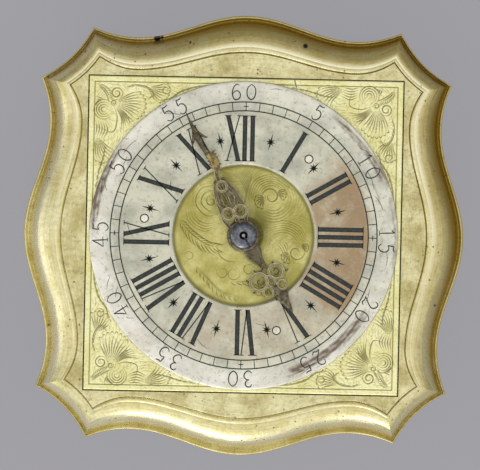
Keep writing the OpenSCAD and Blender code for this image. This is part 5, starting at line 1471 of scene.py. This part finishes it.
def domed_collet():
    """Domed collet with its slit and the hollow round the arbor's tip."""
    segments = 144
    a = np.arange(segments) / segments * 360
    top = COLLET_Z + COLLET_T
    dome = [(1.4 + 2.8 * math.cos(t), COLLET_Z + 0.3 + 1.2 * math.sin(t))
            for t in np.radians(np.linspace(0, 82, 16))]
    profile = [(0.53, COLLET_Z), (4.2, COLLET_Z)] + dome
    profile = np.array(profile + [(1.34, top - 0.05), (1.24, top - 0.25), (1.2, top - 0.9), (0.53, top - 0.9)])
    r, z = profile[:, 0], profile[:, 1]
    away = np.abs((a - (90 - SLIT_ANGLE) + 180) % 360 - 180)
    x, y = np.outer(np.cos(np.radians(a)), r), np.outer(np.sin(np.radians(a)), r)
    in_slit = (np.sin(np.radians(away))[:, None] * r < SLIT_W / 2) & (away[:, None] < 90)
    z = np.where(in_slit & (z > top - SLIT_DEPTH), top - SLIT_DEPTH, np.tile(z, (segments, 1)))
    # Painted shade: the hollow round the arbor's tip and the slit are darkened near black
    oiled = np.maximum((r < 1.25) * 1.0, in_slit * 0.9).ravel()
    faces = grid_faces(segments, len(profile), True, True)
    made = Shape().add(np.stack([x, y, z], axis=-1).reshape(-1, 3), faces, oiled=oiled)
    make_piece("collet_domed", made, BLUED, "centre_set", ["hand_collet"], sharp=40)


# Case fittings

# The feet's radius, their place each way from the middle and the radius of the rod's hole
FOOT_R, FOOT_AT, ROD_HOLE_R = 5.6, 46, 1.52


def bun_feet():
    """Four turned feet with a bead and a neck."""
    r, h = FOOT_R, FOOT_H
    belly = [(r * (0.3 + 0.7 * math.cos(t)), h * (0.42 + 0.4 * math.sin(t)))
             for t in np.linspace(-1.15, 1.15, 22)]
    profile = [(ROD_HOLE_R, h / 2), (0.001, h / 2), (0.001, 0.0), (r * 0.5, 0.0), (r * 0.62, 0.15)] + belly
    neck = [(0.5, 0.84), (0.62, 0.87), (0.78, 0.9), (0.8, 0.95), (0.8, 1)]
    profile += [(r * wide, h * high) for wide, high in neck]
    foot = Shape().lathe(profile + [(ROD_HOLE_R, h)], 56, (FOOT_AT, FOOT_AT))
    grown("bun_feet", foot, ROUND, {"Count": 4, "Start": 0.0}, SHEET, "case", ["feet"])


# Half width and height of the side windows, their middle above the base frame, and the bead's place round them
WINDOW_HALF_W, WINDOW_HALF_H, WINDOW_Z, BEAD_OUT = 29.0, 9.5, 15, 1.2


def window_beads():
    """A raised bead round each side window, as a swept half-round."""
    middle_z = FOOT_H + BASE_FRAME_H + WINDOW_Z
    section = [(-1.1, -0.1), (-1.1, 0.25), (-0.7, 0.62), (0, 0.8), (0.7, 0.62), (1.1, 0.25), (1.1, -0.1)]
    rows = []
    for sx, sz in ((-1, -1), (1, -1), (1, 1), (-1, 1)):
        rows.append([(sx * (WINDOW_HALF_W + BEAD_OUT + s), BAND_HALF + out,
                      middle_z + sz * (WINDOW_HALF_H + BEAD_OUT + s)) for s, out in section])
    bead = Shape().add(np.array(rows).reshape(-1, 3), grid_faces(4, len(section), True, True)[:, ::-1])
    grown("window_beads", bead, ROUND, {"Count": 4, "Start": 0.0}, SHEET, "case")


# Run of the fusee's chain, as in the solids: foot of the room between the plates, axes of barrel and fusee, the
# barrel's radius, the fusee's least and greatest radius and height, its turns, and where the chain leaves it
GAP_Z, BARREL_AT, FUSEE_AT, BARREL_R = 27.6, np.array([-23.0, 23.0]), on_circle(24.75, 225), 17
FUSEE_R0, FUSEE_R1, FUSEE_Z0, FUSEE_Z1, FUSEE_TURNS, LEAVES_AT = 7.0, 13.0, 3.0, 16.0, 8, 3.5
# Depth of the fusee's groove, room under the chain and half its thickness
GROOVE_DEPTH, CHAIN_ROOM, CHAIN_HALF = 0.5, 0.15, 0.4


def chain_links():
    """The fusee chain as single links along its path round barrel and fusee."""
    level = FUSEE_Z0 + (FUSEE_Z1 - FUSEE_Z0) / FUSEE_TURNS * LEAVES_AT
    cone = FUSEE_R0 + (FUSEE_R1 - FUSEE_R0) * (level - FUSEE_Z0) / (FUSEE_Z1 - FUSEE_Z0)
    at_fusee = cone - GROOVE_DEPTH + CHAIN_ROOM + CHAIN_HALF
    at_barrel = BARREL_R + CHAIN_ROOM + CHAIN_HALF
    d = BARREL_AT - FUSEE_AT
    lean = math.degrees(math.asin((at_barrel - at_fusee) / np.linalg.norm(d)))
    tangent = math.degrees(math.atan2(d[1], d[0])) + 90 + lean
    line = np.vstack([spiral(BARREL_AT, at_barrel, at_barrel, tangent - 300, tangent, 80),
                      spiral(FUSEE_AT, at_fusee, at_fusee, tangent, tangent + 200, 50)])
    path = Shape().add(np.c_[line, np.full(len(line), GAP_Z + level)], [])
    grown("fusee_chain", path, ALONG, {"Pitch": 0.0012, "Link length": 0.0010, "Link width": 0.0011,
                                       "Link thickness": 0.0006}, STEEL, "case", ["chain"])


# Finishes of the solids that stay

def dress_solids():
    """Gives each solid that stays its material."""
    finishes = {
        SHEET: ["case_wall", "bottom_door", "door_hinge_leaf", "balance_cock"],
        CLEAR: ["window_panes", "door_glass"],
        STEEL: ["case_rods", "door_hinge_pin", "dial_foot_pins", "cannon_pinion", "minute_wheel_stud",
                "pillar_pins", "barrel_arbor", "mainspring", "setup_ratchet", "setup_click", "winding_click",
                "stop_arm", "stop_post", "centre_arbor", "third_arbor", "contrate_arbor", "verge",
                "cock_screws", "spring_stud"],
        BLUED: ["collet_pin", "balance_spring"],
        MOVEMENT: ["window_clips", "door_glass_ring", "door_knob", "dial_feet", "dial_dogs", "hour_wheel",
                   "minute_wheel", "front_plate", "back_plate", "pillars", "barrel", "barrel_cap", "fusee",
                   "great_wheel", "centre_wheel", "third_wheel", "contrate_wheel", "crown_wheel", "potence",
                   "counter_potence", "balance_wheel", "regulator_index"],
    }
    for material, names in finishes.items():
        for name in names:
            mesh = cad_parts[name].data
            if not mesh.materials:
                mesh.materials.append(material)
            for i in range(len(mesh.materials)):
                mesh.materials[i] = material


# Floor, lamps and camera

# Tones of the floor and of the room behind it, as the camera sees them
BOARD_TONE, BACKDROP_TONE = "#a4a3a8", "#a2a1a6"


def seen_by(tree, *kinds):
    """1 for rays of these kinds, 0 for the rest."""
    ray = add(tree, "ShaderNodeLightPath").outputs
    seen = ray[f"Is {kinds[0]} Ray"]
    for kind in kinds[1:]:
        seen = add(tree, "ShaderNodeMath", {0: seen, 1: ray[f"Is {kind} Ray"]}, operation="MAXIMUM")
    return seen


def floor():
    """Plain pale grey floor under the feet; seen directly, it keeps an even tone and part of the shadow."""
    material = bpy.data.materials.new("painted_board")
    tree = cleared(material)
    paint = add(tree, "ShaderNodeBsdfPrincipled", {"Base Color": BACKDROP_TONE, "Roughness": 0.9,
                                                   "Specular IOR Level": 0.1})
    tone = add(tree, "ShaderNodeEmission", {"Color": BOARD_TONE, "Strength": 1.0})
    even = add(tree, "ShaderNodeMath", {0: seen_by(tree, "Camera", "Glossy", "Transmission"), 1: 0.8},
               operation="MULTIPLY")
    both = add(tree, "ShaderNodeMixShader", {0: even, 1: paint, 2: tone})
    add(tree, "ShaderNodeOutputMaterial", {"Surface": both})
    mesh = bpy.data.meshes.new("floor")
    mesh.from_pydata([(-3, -3, 0), (3, -3, 0), (3, 3, 0), (-3, 3, 0)], [], [[0, 1, 2, 3]])
    mesh.materials.append(material)
    board = bpy.data.objects.new("floor", mesh)
    bpy.context.scene.collection.objects.link(board)


def lamp(name, place, size, power):
    """A square soft lamp aimed at the clock's middle."""
    data = bpy.data.lights.new(name, "AREA")
    data.shape, data.size, data.energy = "SQUARE", size, power
    made = bpy.data.objects.new(name, data)
    made.location = place
    made.rotation_euler = (Vector((0, 0, 0.04)) - Vector(place)).to_track_quat("-Z", "Y").to_euler()
    bpy.context.scene.collection.objects.link(made)


def toward(tree, way, aim, edges, levels):
    """A strength that changes softly between two levels as a direction turns towards an aim."""
    facing = add(tree, "ShaderNodeVectorMath", {0: way, 1: aim}, operation="DOT_PRODUCT")
    return add(tree, "ShaderNodeMapRange", {"Value": facing, "From Min": edges[0], "From Max": edges[1],
                                            "To Min": levels[0], "To Max": levels[1]},
               interpolation_type="SMOOTHSTEP")


def studio():
    """A white room: light overhead, a low bright side each at the left and in front, a dark pier between them
    and one low lamp in front."""
    world = bpy.data.worlds.new("studio")
    bpy.context.scene.world = world
    tree = cleared(world)
    way = add(tree, "ShaderNodeTexCoord").outputs["Generated"]
    overhead = toward(tree, way, (0.22, -0.24, 0.93), (0.15, 1.1), (0.31, 1.0))
    beside = toward(tree, way, (-0.71, -0.70, 0.08), (0.2, 1.0), (0.0, 1.4))
    level = add(tree, "ShaderNodeVectorMath", {0: way, 1: (1.0, 1.0, 0.0)}, operation="MULTIPLY")
    level = add(tree, "ShaderNodeVectorMath", {0: level}, operation="NORMALIZE")
    pier = toward(tree, level, (-0.71, -0.71, 0.0), (0.86, 0.99), (1.0, 0.2))
    strength = add(tree, "ShaderNodeMath", {0: beside, 1: pier, 2: overhead}, operation="MULTIPLY_ADD")
    room = add(tree, "ShaderNodeBackground", {"Color": (1.0, 1.0, 1.0, 1.0), "Strength": strength})
    plain = add(tree, "ShaderNodeBackground", {"Color": BACKDROP_TONE, "Strength": 1.0})
    both = add(tree, "ShaderNodeMixShader", {0: seen_by(tree, "Camera", "Transmission"), 1: room, 2: plain})
    add(tree, "ShaderNodeOutputWorld", {"Surface": both})
    lamp("key", (-0.5, -2.4, 0.9), 1.2, 12.0)


# The photograph in pixels: its size, the dial plate's width and the dial's middle; and its lean in degrees
PHOTO_W, PHOTO_H, PLATE_PX, DIAL_X, DIAL_Y, LEAN = 480, 470, 314, 243.5, 235.5, 1.2
# Metres from the dial to the camera, and its sensor's width in millimetres
CAMERA_AWAY, SENSOR = 1.4, 36


def camera():
    """A long lens straight above the dial, turned by the small lean of the photograph."""
    data = bpy.data.cameras.new("camera")
    px = 2 * DIAL_HALF * MM / PLATE_PX
    data.sensor_width = SENSOR
    data.lens = SENSOR * CAMERA_AWAY / (PHOTO_W * px)
    made = bpy.data.objects.new("camera", data)
    lean = math.radians(LEAN)
    right = Vector((math.cos(lean), math.sin(lean), 0))
    up = Vector((-math.sin(lean), math.cos(lean), 0))
    off_centre = up * (DIAL_Y - PHOTO_H / 2) * px - right * (DIAL_X - PHOTO_W / 2) * px
    made.location = off_centre + Vector((0, 0, CASE_TOP * MM + CAMERA_AWAY))
    made.rotation_euler = (0, 0, lean)
    bpy.context.scene.collection.objects.link(made)
    bpy.context.scene.camera = made


GILT, SHEET, PLATE = cast_gilt_brass(), rolled_gilt_brass(), engraved_brass()
SILVER, WAX = silvered_brass(), engravers_wax()
BRONZE, BLUED, STEEL = carved_bronze(), blued_steel(), polished_steel()
MOVEMENT, CLEAR = movement_brass(), crown_glass()
ROUND, ALONG = ring_tree(), path_tree()

top_moulding()
base_moulding()
engraving = Relief()
engrave(engraving)
dial_plate(engraving)
chapter_ring()
hour_numerals()
minute_numerals()
hairlines()
half_hour_stars()
minute_track()
rivets()
hour_hand()
minute_hand()
domed_collet()
bun_feet()
window_beads()
chain_links()
dress_solids()

camera()
studio()
floor()
bpy.context.scene.view_settings.view_transform = "Standard"
